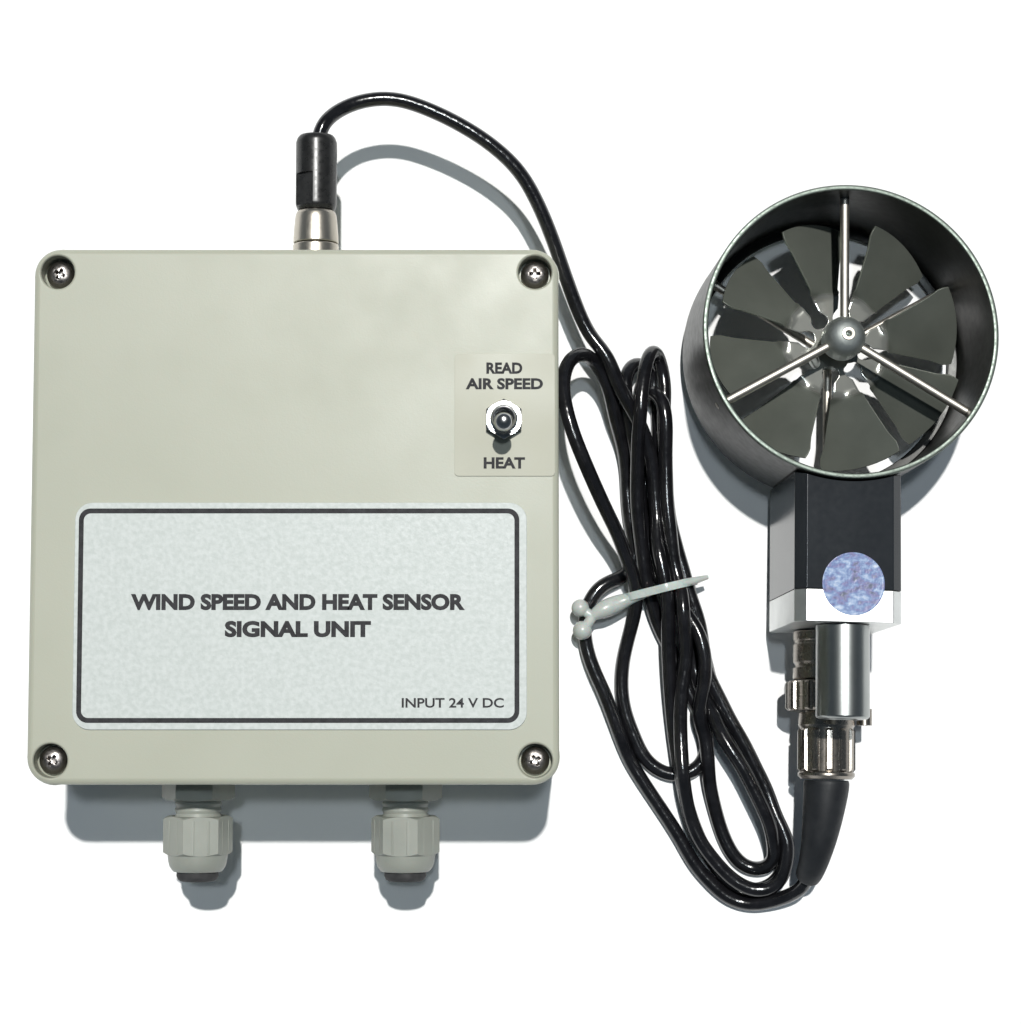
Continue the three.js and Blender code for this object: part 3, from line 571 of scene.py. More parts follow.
RECESS_R = 3.8
SWITCH_X, SWITCH_Y = 47.5, 21.5
lid_low = SEAM + 0.3
lid = block("lid_moulding", (-BOX_W / 2, -BOX_L / 2, lid_low), (BOX_W / 2, BOX_L / 2, BOX_H), 6, 12)
in_edit(lid)
pick_faces(lid, lambda face: face.normal.z > 0.9)
bpy.ops.mesh.bevel(offset=1.5 * MM, segments=6)
pick_faces(lid, lambda face: face.normal.z < -0.9)
STEP_IN, STEP_DOWN = 0.35, 0.15
bpy.ops.mesh.inset(thickness=STEP_IN * MM)
extrude(0, 0, -STEP_DOWN * MM)
bpy.ops.mesh.inset(thickness=(WALL - STEP_IN) * MM)
extrude(0, 0, (BOX_H - 3 - lid_low + STEP_DOWN) * MM)
leave_edit()
for x, y in SCREW_SPOTS:
    post = cylinder(POST_R, lid_low, BOX_H - 2, (x * POST_INWARD, y * POST_INWARD))
    unite(lid, post)
    recess = turned("recess", [
        (0, 51), (3.5, 51), (RECESS_R, 51.3), (RECESS_R, 55.3), (3.87, 55.62), (4.05, 55.86),
        (4.35, 56), (4.6, 57.5), (0, 57.5),
    ], 48)
    cut(lid, put(recess, shift(x, y, 0)))
    cut(lid, cylinder(SCREW_HOLE_R, lid_low - 1, 52, (x, y), 20))
cut(lid, cylinder(3.4, BOX_H - 5, BOX_H + 1, (SWITCH_X, SWITCH_Y)))
finished(lid, box_place, case_plastic, "box_plastic", "enclosure_lid")

# ---- Lid screws ----
# Bright steel screws with a domed head and a cross recess, sunk into the lid's corners.


def steel_finish(name, color, roughness, scratch=0.08):
    metal = surface(name, color, roughness, 1.0)
    tint(metal, (120, 4), tuple(0.86 * c for c in color), color)
    smooth, rough = 1 - 3 * scratch, 1 + 4 * scratch
    roughen(metal, (1200, 3, (1, 1, 6)), roughness * smooth, roughness * rough)
    emboss(metal, (3000, 2, (1, 1, 5)), scratch, 0.00005)
    return metal


screw_steel = steel_finish("screw_steel", (0.3, 0.28, 0.265), 0.32)
CROSS_FLOOR = 52.1
for number, (x, y) in enumerate(SCREW_SPOTS, 1):
    screw = turned(f"lid_screw_steel_{number}", [
        (0, 26), (1.9, 26.5), (1.9, 51.3), (3.2, 51.3), (3.25, 51.9), (3.15, 52.5), (2.8, 53.1),
        (2.2, 53.5), (1.3, 53.75), (0, 53.85),
    ], 48)
    for quarter in (0, 1):
        wing = block("wing", (-1.75, -0.42, CROSS_FLOOR), (1.75, 0.42, 55))
        in_edit(wing)
        pick_faces(wing, lambda face: face.normal.z < -0.9)
        bpy.ops.transform.resize(value=(0.45, 0.8, 1), center_override=(0, 0, CROSS_FLOOR * MM))
        leave_edit()
        cut(screw, put(wing, rotated(quarter * pi / 2)))
    turn = rotated(0.6 + 0.5 * number)
    screw_place = box_place @ shift(x, y, 0) @ turn
    finished(screw, screw_place, screw_steel, "steel", f"lid_screw_{number}", edge=0.06)

# ---- Inside the box ----
# A foam-rubber seal between the halves, a glass-epoxy board on four posts with its screws,
# and a green block with four screw terminals. None of it shows with the lid on.


def repaint(material, *nodes):
    for node in nodes:
        mesh = frame["nodes"][node].data
        mesh.materials.clear()
        mesh.materials.append(material)


seal_rubber = surface("seal_rubber", (0.03, 0.03, 0.032), 0.75)
tint(seal_rubber, (500, 4), (0.02, 0.02, 0.022), (0.045, 0.045, 0.047))
emboss(seal_rubber, (1500, 4), 0.3, 0.0001)
board_resin = surface("board_resin", (0.02, 0.11, 0.04), 0.35)
tint(board_resin, (260, 2, (1, 4, 1)), (0.012, 0.08, 0.03), (0.03, 0.15, 0.06))
roughen(board_resin, (90, 4), 0.25, 0.45)
terminal_paint = surface("terminal_plastic", (0.05, 0.26, 0.08), 0.4)
tint(terminal_paint, (150, 4), (0.04, 0.22, 0.07), (0.06, 0.3, 0.1))
emboss(terminal_paint, (2000, 4), 0.15, 0.0001)
repaint(seal_rubber, "lid_gasket")
repaint(board_resin, "circuit_board")
repaint(terminal_paint, "terminal_block")
repaint(screw_steel, *(f"board_screw_{number}" for number in (1, 2, 3, 4)))

# ---- Nameplate ----
# A silvery film plate stuck on the lid, with rounded corners. A black line runs round it
# inside the edge, and dark grey capitals are printed on it. The words are general ones.

PLATE_X, PLATE_Y = 1.5, -23
plate_top = 56.45
INK_LIFT = 0.03
plate_film = surface("silvery_film", (0.51, 0.545, 0.535), 0.45, shine=0.3)
tint(plate_film, (900, 4), (0.5, 0.54, 0.52), (0.58, 0.615, 0.6), 0.35, 0.65)
roughen(plate_film, (1100, 3), 0.3, 0.5)
emboss(plate_film, (1400, 3), 0.25, 0.0001)
plate = block("nameplate_film", (-51.2, -25.65, 56.05), (51.2, 25.65, plate_top), 4, 10)
plate_place = box_place @ shift(PLATE_X, PLATE_Y, 0)
finished(plate, plate_place, plate_film, "plate_film", "nameplate", edge=0.16, steps=3)

ink = surface("printing_ink", (0.025, 0.025, 0.028), 0.6, shine=0.2)
tint(ink, (700, 4), (0.018, 0.018, 0.02), (0.04, 0.04, 0.044))
line = block("nameplate_line", (-49.9, -24.2, plate_top + 0.01), (49.9, 24.2, plate_top + 0.06), 2.6, 8)
cut(line, block("inner", (-48.8, -23.1, plate_top - 1), (48.8, 23.1, plate_top + 1), 1.6, 8))
finished(line, box_place @ shift(1.1, -22.9, 0), ink, "black_plastic")


def lettering(name, words, x, y, z, height, width, weight, right=False):
    """A printed line of capitals on the film at z: its middle or right end, height and width."""
    clear_selection()
    bpy.ops.object.text_add()
    text = bpy.context.object
    text.name = name
    text.data.body = words
    text.data.extrude = 0.02
    text.data.offset = weight
    text.data.resolution_u = 4
    bpy.ops.object.convert(target="MESH")
    printed = bpy.context.object
    xs = [v.co.x for v in printed.data.vertices]
    ys = [v.co.y for v in printed.data.vertices]
    wide, tall = width / (max(xs) - min(xs)), height / (max(ys) - min(ys))
    start = max(xs) if right else (max(xs) + min(xs)) / 2
    size = Matrix.Diagonal((wide * MM, tall * MM, 2 * MM, 1))
    fit = size @ Matrix.Translation((-start, -(max(ys) + min(ys)) / 2, 0))
    finished(printed, box_place @ shift(x, y, z + INK_LIFT) @ fit, ink, "black_plastic", edge=None)


lettering("nameplate_words_1", "WIND SPEED AND HEAT SENSOR", 0.95, -19.9, plate_top, 3.7, 75.5, 0.05)
lettering("nameplate_words_2", "SIGNAL UNIT", 1.0, -26.0, plate_top, 3.7, 33, 0.05)
lettering("nameplate_words_3", "INPUT 24 V DC", 47.5, -42.6, plate_top, 2.2, 23, 0.02, True)

# ---- Switch label ----
# A small satin film label round the switch, with a line of capitals above and below it.

label_top = 56.3
label_film = surface("label_film", (0.405, 0.405, 0.33), 0.4, shine=0.25)
tint(label_film, (160, 4), (0.39, 0.39, 0.31), (0.42, 0.42, 0.335))
roughen(label_film, (80, 4), 0.28, 0.42)
label = block("switch_label_film", (-11.4, -14, 56.05), (11.4, 14, label_top), 0.8, 3)
put(label, shift(47.7, 22.7, 0))
cut(label, cylinder(3.6, 55, 58, (SWITCH_X, SWITCH_Y)))
finished(label, box_place, label_film, "label_film", "switch_label", edge=0.05)
lettering("switch_words_1", "READ", 47.6, 33.4, label_top, 2.6, 8.2, 0.04)
lettering("switch_words_2", "AIR SPEED", 47.6, 29.8, label_top, 2.6, 17.6, 0.04)
lettering("switch_words_3", "HEAT", 47.6, 11.7, label_top, 2.6, 9.4, 0.04)

# ---- Toggle switch ----
# A plated toggle switch: a threaded bushing through the lid with its case below, a hexagon nut
# that clamps it, and a bat lever on a ball that leans towards the lower word.

plate_metal = steel_finish("bright_plate", (0.5, 0.5, 0.5), 0.2, 0.04)
LEVER_PIVOT_Z = 59.4
LEVER_LEAN = radians(11)


def hexagon(name, across_flats, low, high, turn=0.0, both=False):
    """A hexagon bar with its corners taken off at the upper end or both, as on a nut."""
    radius = across_flats / 2 / cos(pi / 6)
    bar = cylinder(radius, low, high, around=6)
    bar.name = name
    put(bar, rotated(turn))
    reach = radius - across_flats / 2
    lower = [(0, low - 1), (radius + 1, low - 1), (radius + 1, low)]
    if both:
        lower = [(0, low - 0.01), (across_flats / 2, low - 0.01), (radius + 0.2, low + reach * 0.7)]
    upper = [(radius + 0.2, high - reach * 0.7), (across_flats / 2, high + 0.01), (0, high + 0.01)]
    cone = turned("cone", lower + upper, 72)
    return cut(bar, cone, how="INTERSECT")


switch_case = block("switch_case", (-6.6, -4, 42.7), (6.6, 4, 52.7), 0.6, 2)
THREAD_PITCH = 0.75
thread = []
for ridge in range(11):
    z = 53.0 + ridge * THREAD_PITCH
    thread += [(2.78, z), (3.0, z + 0.2), (3.0, z + 0.4), (2.78, z + 0.6)]
bushing = turned("bushing", [(0, 52.5), (3, 52.5)] + thread + [
    (2.78, 61.4), (2.6, 61.9), (2.35, 61.95), (2.1, 61.7), (2.1, 56.2), (0, 56.2),
], 48)
unite(switch_case, bushing)
for x in (-4.7, 0, 4.7):
    unite(switch_case, block("tag", (x - 1, -0.4, 37.7), (x + 1, 0.4, 43.5)))
switch_place = box_place @ shift(SWITCH_X, SWITCH_Y, 0)
finished(switch_case, switch_place, plate_metal, "chrome", "switch_body")

nut = hexagon("switch_hex_nut", 8, 56.6, 58.6)
cut(nut, cylinder(3.1, 56, 60, around=48))
finished(nut, switch_place, plate_metal, "chrome", "switch_nut", edge=0.12, steps=3)

lever = turned("switch_bat", [
    (0, -1.7), (0.9, -1.5), (1.5, -0.8), (1.7, 0), (1.35, 0.9), (1, 1.6), (1, 2.2), (1.25, 4),
    (1.7, 7), (2.1, 9),
    (2.15, 9.8), (1.9, 10.6), (1.2, 11.1), (0, 11.3),
], 32)
lean = shift(0, 0, LEVER_PIVOT_Z) @ rotated(LEVER_LEAN, "X")
finished(lever, switch_place @ lean, plate_metal, "chrome", "switch_lever", body="switch_lever", angle=50)

# ---- Cable glands ----
# Two moulded nylon glands in the lower wall. Each has a hexagon against the wall, a threaded
# neck, a dome nut with gripping ribs that squeezes a rubber seal, and a locknut inside.

gland_nylon = surface("gland_nylon", (0.3, 0.315, 0.28), 0.42, milky=(0.05, 0.002))
tint(gland_nylon, (90, 5), (0.26, 0.275, 0.245), (0.3, 0.315, 0.28))
roughen(gland_nylon, (300, 4), 0.336, 0.504)
emboss(gland_nylon, (2200, 2), 0.15, 0.0001)
NUT_TURN = {"left": radians(17), "right": radians(37)}
for side, x in zip(("left", "right"), GLAND_X):
    place = box_place @ across(x, -BOX_L / 2, PORT_Z, -1)
    neck = [(6.1, -9.5), (6.1, 0.2), (5.5, 0.6)]
    for ridge in range(7):
        z = 4.9 + ridge * 1.5
        neck += [(5.2, z), (5.5, z + 0.5), (5.5, z + 0.9), (5.2, z + 1.4)]
    profile = [(4.3, -10), (5.9, -10)] + neck + [(5.1, 15.5), (4.3, 15.5), (4.3, -10)]
    gland = turned(f"gland_{side}_neck", profile, 56)
    collar = hexagon("collar", 15, 0.3, 4.8, pi / 6)
    cut(collar, cylinder(5.0, -1, 6, around=48))
    unite(gland, collar)
    finished(gland, place, gland_nylon, "gland_plastic", f"gland_{side}_body", edge=0.18, angle=40)

    dome = turned(f"gland_{side}_dome", [
        (5.8, 8.6), (6.9, 8.6), (7.1, 8.9), (7.1, 16.9), (7.05, 17.8), (6.9, 19.2), (6.6, 20.3),
        (6.1, 21.1), (5.7, 21.5), (5.3, 21.6),
        (5, 21.3), (5, 18.6), (5.8, 16.4), (5.8, 8.6),
    ], 72)
    hexed = hexagon("hexed", 14.2, 8.5, 17.6, NUT_TURN[side], True)
    cut(hexed, cylinder(6.2, 7, 19, around=48))
    unite(dome, hexed)
    for rib in range(12):
        ridge = block("ridge", (6.4, -0.4, 9.4), (7.45, 0.4, 17.2), 0.25, 2)
        put(ridge, rotated(NUT_TURN[side] + radians(15 + 30 * rib)))
        unite(dome, ridge)
    finished(dome, place, gland_nylon, "gland_plastic", f"gland_{side}_dome_nut", edge=0.12, angle=40)
    repaint(gland_nylon, f"gland_{side}_locknut")
    rubber = turned(f"gland_{side}_rubber", [
        (3.2, 6), (4, 6), (4.2, 18), (4.9, 21), (4.95, 22.6), (4.6, 23.4), (3.9, 23.8),
        (3.35, 23.7), (3.2, 23.3), (3.2, 6),
    ], 56)
    finished(rubber, place, seal_rubber, "dark_rubber", f"gland_{side}_seal")

# ---- Socket on the box and the cord's plug ----
# A nickel-plated round socket screwed into the upper wall. The plug's knurled nickel shell
# pushes on to it, and a black sleeve with a flat finger grip covers the cord's end.

nickel = steel_finish("warm_nickel", (0.6, 0.555, 0.48), 0.34, 0.03)
shiny_black = surface("black_sleeve_plastic", (0.01, 0.01, 0.01), 0.3)
tint(shiny_black, (400, 4), (0.009, 0.009, 0.009), (0.02, 0.02, 0.02))
roughen(shiny_black, (900, 4), 0.24, 0.38)
emboss(shiny_black, (1800, 2), 0.04, 0.00005)
socket_place = box_place @ across(SOCKET_X, BOX_L / 2, PORT_Z, 1)

socket = turned("box_socket_barrel", [
    (0, -12), (3.6, -12), (3.6, -9), (4.4, -9), (4.4, 0.3), (6.1, 0.3), (6.2, 0.5), (6.2, 1.9),
    (6, 2.3), (5.6, 2.5),
    (5.5, 2.8), (5.5, 6.1), (5.3, 6.4), (0, 6.4),
], 72)
finished(socket, socket_place, nickel, "nickel", "box_socket", edge=0.08)
repaint(nickel, "box_socket_nut")

shell = turned("box_plug_collar", [
    (0, 6.6), (5.3, 6.6), (5.45, 6.8), (5.4, 8.4), (5.25, 10.4), (5.05, 12.6), (4.9, 13.6),
    (4.6, 14.3), (4.2, 14.6), (0, 14.6),
], 72)
finished(shell, socket_place, nickel, "nickel", "box_plug_shell", edge=0.06)

sleeve = turned("box_plug_grip", [
    (1.85, 27), (1.85, 33.4), (2.5, 33.4), (2.55, 33), (4.1, 33), (4.6, 32.4), (4.95, 31.3),
    (4.95, 16.2), (4.8, 15.6), (4.6, 15.1),
    (4.3, 14.7), (0, 14.7), (0, 27), (1.85, 27),
], 72)
notch_way = socket_place.to_3x3().inverted() @ Vector((-0.62, 0, 0.78))
flat = block("flat", (4.1, -6, 15.6), (7, 6, 23.4))
cut(sleeve, put(flat, rotated(atan2(notch_way.y, notch_way.x))))
finished(sleeve, socket_place, shiny_black, "black_plastic", "box_plug_sleeve", edge=0.12)

# ---- Vane ring ----
# A short thin-walled aluminium tube, dark grey anodised, with its rims left paler where the
# lathe tool broke the edge. The spoke ends come flush through its wall.

spin = next(j for j in frame["joints"] if j["name"] == "impeller_spin")
coupling = next(j for j in frame["joints"] if j["name"] == "coupling_turn")
out_axis = Vector(spin["axis"]).normalized()
up_axis = Vector(coupling["axis"]).normalized()
side_axis = up_axis.cross(out_axis)
RING_R = 35.5
RING_WALL = 1.3
RING_LENGTH = 34
ROTOR_W = -18
head_origin = Vector(spin["pos_m"]) - out_axis * ROTOR_W * MM
head_place = Matrix.Translation(head_origin) @ Matrix((side_axis, up_axis, out_axis)).transposed().to_4x4()
SPIDERS = {"front": (-8, (90, 210, 330)), "rear": (-28, (-90, 30, 150))}
inner_r = RING_R - RING_WALL
back = -RING_LENGTH

anodised = surface("grey_anodised", (0.02, 0.0205, 0.019), 0.36, 0.15, shine=0.22)
tint(anodised, (60, 5), (0.017, 0.0175, 0.016), (0.025, 0.0255, 0.0235))
roughen(anodised, (500, 4), 0.3, 0.38)
emboss(anodised, (1800, 2), 0.1, 0.00005)
rim_metal = steel_finish("bare_rim", (0.15, 0.175, 0.155), 0.42)

ring = turned("vane_ring", [
    (inner_r - 2.4, back + 0.35), (inner_r - 2.2, back + 0.05), (RING_R - 0.25, back + 0.05),
    (RING_R - 0.02, back + 0.35), (RING_R, back + 1.2), (RING_R, -1.2), (RING_R, -0.4),
    (RING_R - 0.2, -0.08), (RING_R - 0.45, 0), (inner_r + 0.35, 0), (inner_r + 0.1, -0.12),
    (inner_r, -0.4), (inner_r, back + 1.8), (inner_r - 0.3, back + 1.3), (inner_r - 2.2, back + 1.1),
    (inner_r - 2.4, back + 0.9), (inner_r - 2.4, back + 0.35),
], 192)
finished(ring, head_place, anodised, "ring_anodised", "vane_housing")
ring.data.materials.append(rim_metal)
to_head = head_place.inverted()
for face in ring.data.polygons:
    height = (to_head @ face.center).z
    face.material_index = 1 if height > -0.38 * MM or height < (back + 0.3) * MM else 0

# ---- Hubs, spokes and bearings ----
# Two spiders of three drawn steel rods hold the hubs in the ring. The front hub is a rounded
# nose with a tiny centre hole, the rear one a drum. Each holds a small ball bearing.

drawn_steel = steel_finish("drawn_steel", (0.66, 0.625, 0.56), 0.45, 0.03)
for which, (w, angles) in SPIDERS.items():
    for number, angle in enumerate(angles, 1):
        rod = turned(f"{which}_rod_{number}", [
            (0, 4.1), (1, 4.1), (1.08, 4.3), (1.08, 34.9), (1, 35.35), (0.8, 35.55), (0, 35.6),
        ], 28)
        along = rotated(radians(angle)) @ rotated(pi / 2, "Y")
        rod_place = head_place @ Matrix.Translation((0, 0, w * MM)) @ along
        finished(rod, rod_place, drawn_steel, "steel", f"{which}_spoke_{number}")

hub_metal = steel_finish("turned_aluminium", (0.72, 0.76, 0.73), 0.5, 0.03)
nose = turned("nose_hub", [
    (0, -7.4), (0.6, -7.2), (0.6, -3.5), (0.75, -3.38), (1.4, -3.4), (1.7, -3.5), (2.5, -3.85),
    (3.4, -4.45), (4.15, -5.3),
    (4.7, -6.3), (4.98, -7.3), (5.05, -8.4), (5.05, -11.5), (4.85, -11.9), (4.5, -12), (2.5, -12),
    (2.5, -10), (0, -10),
][::-1], 72)
finished(nose, head_place, hub_metal, "aluminium", "front_hub", edge=0.08)
nose_ring = turned("nose_ring", [
    (0.66, -3.9), (1.6, -3.9), (1.65, -3.45), (1.5, -3.25), (0.85, -3.2), (0.66, -3.4), (0.66, -3.9),
], 48)
finished(nose_ring, head_place, drawn_steel, "chrome")
drum = turned("rear_drum", [
    (0, -32.5), (3.2, -32.5), (3.9, -32.2), (4.2, -31.7), (4.2, -29.6), (4, -29.4), (4, -26.4),
    (4.2, -26.2), (4.2, -24.5),
    (4, -24.1), (3.7, -24), (2.5, -24), (2.5, -26), (0, -26),
], 64)
finished(drum, head_place, hub_metal, "aluminium", "rear_hub", edge=0.08)
repaint(drawn_steel, "front_bearing", "rear_bearing", "impeller_shaft")

# ---- Impeller ----
# One stamped sheet of thin metal: a bright flat middle with eight key-shaped slots, and eight
# blades twisted out of the sheet between them. A small boss fixes it to the shaft.

BLADES = 8
BLADE_TIP = 30.7
BLADE_PITCH = radians(33)
BLADE_PHASE = 0.21
half_step = pi / BLADES


def slot_half_width(along):
    """Half the width of the slot between two blades, along its middle line."""
    eye_r, eye_at, tail_half, flare = 2.1, 7.9, 1.05, 0.1
    if along < eye_at - eye_r:
        return 0.0
    round_part = sqrt(max(eye_r ** 2 - (along - eye_at) ** 2, 0))
    if along < eye_at:
        return round_part
    return max(round_part, tail_half + flare * (along - eye_at))


def blade_half_width(x):
    """Half the width of one blade's share of the sheet, at x from the axis."""
    slot_end, root_end, blade_at, blade_half, spread = 12.6, 13.3, 13.4, 4.3, 0.4
    if x > root_end:
        return blade_half + (x - blade_at) * spread
    root = x * sin(half_step)
    along = x * cos(half_step) + root / cos(half_step) * 0.4
    y = (root - slot_half_width(along)) / cos(half_step)
    return max(y, 0.2) if x < slot_end else y + (x - slot_end) / 0.7 * 0.8


rows = [
    2.3, 3.6, 4.8, 5.5, 5.8, 6.1, 6.5, 7.0, 7.5, 8.0, 8.5, 9.0, 9.5, 10.2, 11.0, 11.8, 12.5, 13.0,
    13.4, 14.0, 15.0, 16.5, 18.5, 21.0, 23.5, 25.5, 27.5, 29.2, 30.7,
]
COLUMNS = 11
TIP_ROWS = 4
WIDEST_AT = 28.2
TWIST_FROM, TWIST_OVER = 11.6, 2.6
last = len(rows) - 1
clear_selection()
bpy.ops.mesh.primitive_grid_add(x_subdivisions=last, y_subdivisions=COLUMNS - 1, size=2)
vane = bpy.context.object
vane.name = "impeller_sheet"
for corner in vane.data.vertices:
    row = int(round((corner.co.x + 1) / 2 * last))
    x = rows[row]
    y = corner.co.y * blade_half_width(min(x, WIDEST_AT))
    if row > last - TIP_ROWS:
        straight_to = rows[last - TIP_ROWS]
        reach = sqrt(BLADE_TIP ** 2 - y ** 2)
        x = straight_to + (reach - straight_to) * (row - last + TIP_ROWS) / TIP_ROWS
    turn_in = min(max((rows[row] - TWIST_FROM) / TWIST_OVER, 0), 1)
    pitch = BLADE_PITCH * turn_in * turn_in * (3 - 2 * turn_in)
    corner.co = Vector((x, y * cos(pitch), y * sin(pitch))) * MM
copies = [vane]
for number in range(1, BLADES):
    copy = vane.copy()
    copy.data = vane.data.copy()
    bpy.context.collection.objects.link(copy)
    copies.append(put(copy, rotated(number * 2 * half_step)))
choose(vane)
for copy in copies:
    copy.select_set(True)
bpy.ops.object.join()
in_edit(vane)
weld(0.00004)


def thicken(piece, thickness, offset):
    wall = piece.modifiers.new("wall", "SOLIDIFY")
    wall.thickness = thickness * MM
    wall.offset = offset
    apply_all(piece)


thicken(vane, 0.5, 0)
rotor_place = head_place @ Matrix.Translation((0, 0, ROTOR_W * MM)) @ rotated(BLADE_PHASE)

MIDDLE_R = 12.6
blade_metal = surface("stamped_sheet", (0.3, 0.31, 0.28), 0.3, 0.6)
tree = blade_metal.node_tree
at_axis = -Vector(spin["pos_m"])
centred = node(tree, "Mapping", node(tree, "TexCoord").outputs["Object"], Location=at_axis)
how_far = node(tree, "VectorMath", centred.outputs["Vector"])
how_far.operation = "LENGTH"
outside = node(tree, "MapRange", how_far.outputs["Value"],
               From_Min=MIDDLE_R * MM, From_Max=(MIDDLE_R + 0.8) * MM).outputs["Result"]
blade_grain = node(tree, "ValToRGB", grain(blade_metal, 70, 6))
set_ends(blade_grain, (0.15, 0.163, 0.14), (0.205, 0.22, 0.19), 0.3, 0.72)
shade = node(tree, "Mix")
shade.data_type = "RGBA"
shade.inputs["A"].default_value = (0.3, 0.305, 0.28, 1)
tree.links.new(blade_grain.outputs["Color"], shade.inputs["B"])
tree.links.new(outside, shade.inputs["Factor"])
to_shader(blade_metal, shade.outputs["Result"], "Base Color")
dull = node(tree, "MapRange", outside, To_Min=0.14, To_Max=0.4)
to_shader(blade_metal, dull.outputs["Result"], "Roughness")
emboss(blade_metal, (160, 3), 0.1, 0.0002)
finished(vane, rotor_place, blade_metal, "blade_metal", "impeller", body="impeller", edge=0.08, angle=50)
boss = turned("impeller_boss", [
    (1.1, -3), (2.3, -3), (2.6, -2.7), (2.6, -0.9), (3.3, -0.6), (3.3, 0.6), (2.6, 0.9), (2.6, 2.7),
    (2.3, 3), (1.1, 3), (1.1, -3),
], 48)
finished(boss, rotor_place, drawn_steel, "steel", body="impeller", edge=0.08)

# ---- Neck: block, end block and seal ----
# A chamfered rectangular aluminium bar, black anodised, scooped out at the top to carry the
# ring. A short bare end block closes it, and a round foil seal sticks over the joint.

NECK_HALF = 12.7
NECK_FRONT, NECK_REAR = -1.5, -38.2


def neck_bar(name, low_v, high_v):
    """A length of the neck's bar: across, up the ring, out of the front."""
    bar = block(name, (-NECK_HALF, low_v, NECK_REAR), (NECK_HALF, high_v, NECK_FRONT))
    in_edit(bar)
    for chamfer, facing in ((2.4, 1), (2, -1)):
        middle = (NECK_FRONT + NECK_REAR) / 2 * MM
        pick_edges(bar, lambda a, b: abs(a.y - b.y) > 5 * MM and (a.z - middle) * facing > 0)
        bpy.ops.mesh.bevel(offset=chamfer * MM, segments=1)
    leave_edit()
    return bar


black_skin = surface("black_anodised", (0.02, 0.023, 0.027), 0.15, 0.1, shine=0.36)
tint(black_skin, (90, 5), (0.018, 0.021, 0.025), (0.022, 0.0255, 0.03))
roughen(black_skin, (700, 4), 0.14, 0.165)
emboss(black_skin, (2200, 2), 0.02, 0.00002)
neck = neck_bar("neck_bar", -61.4, -28)
scoop = turned("scoop", [(0, -60), (RING_R + 0.3, -60), (RING_R + 0.3, 10), (0, 10)], 160)
cut(neck, scoop)
finished(neck, head_place, black_skin, "black_anodised", "neck_block", edge=0.22, angle=28)

brushed = steel_finish("brushed_aluminium", (0.84, 0.855, 0.845), 0.42, 0.03)
end_block = neck_bar("end_bar", -69.1, -61.5)
finished(end_block, head_place, brushed, "aluminium", "neck_end_block", edge=0.2, angle=28)

foil = surface("mottled_foil", (0.17, 0.24, 0.42), 0.3)
patches = tint(foil, (420, 3, (1, 1.6, 1)), (0, 0, 0), (1, 1, 1), 0, 1).color_ramp.elements
for position, color in (
    (0.34, (0.1, 0.12, 0.2)), (0.43, (0.17, 0.17, 0.36)),
    (0.5, (0.13, 0.2, 0.4)), (0.6, (0.24, 0.34, 0.54)),
):
    patches.new(position).color = (*color, 1)
emboss(foil, (900, 2), 0.3, 0.0002)
seal = turned("foil_seal", [
    (0, NECK_FRONT + 0.03), (7.35, NECK_FRONT + 0.03), (7.4, NECK_FRONT + 0.1),
    (7.35, NECK_FRONT + 0.17), (6.9, NECK_FRONT + 0.19), (6.7, NECK_FRONT + 0.15), (0, NECK_FRONT + 0.16),
], 72)
finished(seal, head_place @ shift(0.8, -60.1, 0), foil, "seal_film", "round_seal")

# ---- Handle stub ----
# A polished half-inch bar end, bored and threaded for a handle, pressed into the end block.

STUB_W = -9.5
JACK_W = -28
stub_metal = steel_finish("polished_bar", (0.4, 0.42, 0.41), 0.3, 0.01)
stub_place = head_place @ Matrix.Translation((0, 0, STUB_W * MM)) @ rotated(pi / 2, "X")
stub = turned("handle_bar_end", [
    (0, 69.4), (6.35, 69.4), (6.35, 90.7), (6.2, 91), (5.65, 91.4), (3.6, 91.4), (3.2, 91),
    (3.2, 82), (0, 80.5),
], 96)
finished(stub, stub_place, stub_metal, "chrome", "handle_stub", edge=0.06)

# ---- Probe socket and the plug on the cord ----
# A nickel-plated socket under the end block, the plug's knurled coupling ring with a small
# lug, the plug's fluted body, and a tapered rubber boot that leads the cord out.


def draw_out(piece, way):
    """Turns an outline into a wall or a bar by drawing it out along way, in mm."""
    in_edit(piece)
    pick_all()
    extrude(*(step * MM for step in way))
    pick_all()
    bpy.ops.mesh.normals_make_consistent(inside=False)
    leave_edit()


def ribbed(name, ribs, outer, inner, low, high):
    """A bar with even ribs along it."""
    clear_selection()
    at = (0, 0, low * MM)
    bpy.ops.mesh.primitive_circle_add(vertices=ribs * 6, radius=outer * MM, fill_type="NGON", location=at)
    bar = bpy.context.object
    bar.name = name
    bpy.ops.object.transform_apply()
    for number, corner in enumerate(bar.data.vertices):
        if number % 6 in (3, 4, 5):
            corner.co.x *= inner / outer
            corner.co.y *= inner / outer
    draw_out(bar, (0, 0, high - low))
    return bar


# The socket, coupling ring and plug body under the head take a darker copy of the box socket's nickel: the
# shade they lie in is painted into its colour.
shade_darkened_nickel = steel_finish("shade_darkened_nickel", (0.34, 0.31, 0.275), 0.28, 0.03)
plug_place = head_place @ Matrix.Translation((0, 0, JACK_W * MM)) @ rotated(pi / 2, "X")
probe_jack = turned("probe_jack", [
    (0, 69.4), (8, 69.4), (8.2, 69.7), (8.2, 71.6), (7.9, 71.9), (7.9, 72.4), (8.2, 72.7),
    (8.2, 76.9), (8, 77.2),
    (7.7, 77.5), (7.7, 78.1), (8.2, 78.4), (8.2, 80.9), (8, 81.2), (0, 81.2),
], 80)
finished(probe_jack, plug_place, shade_darkened_nickel, "nickel", "probe_socket", edge=0.07)

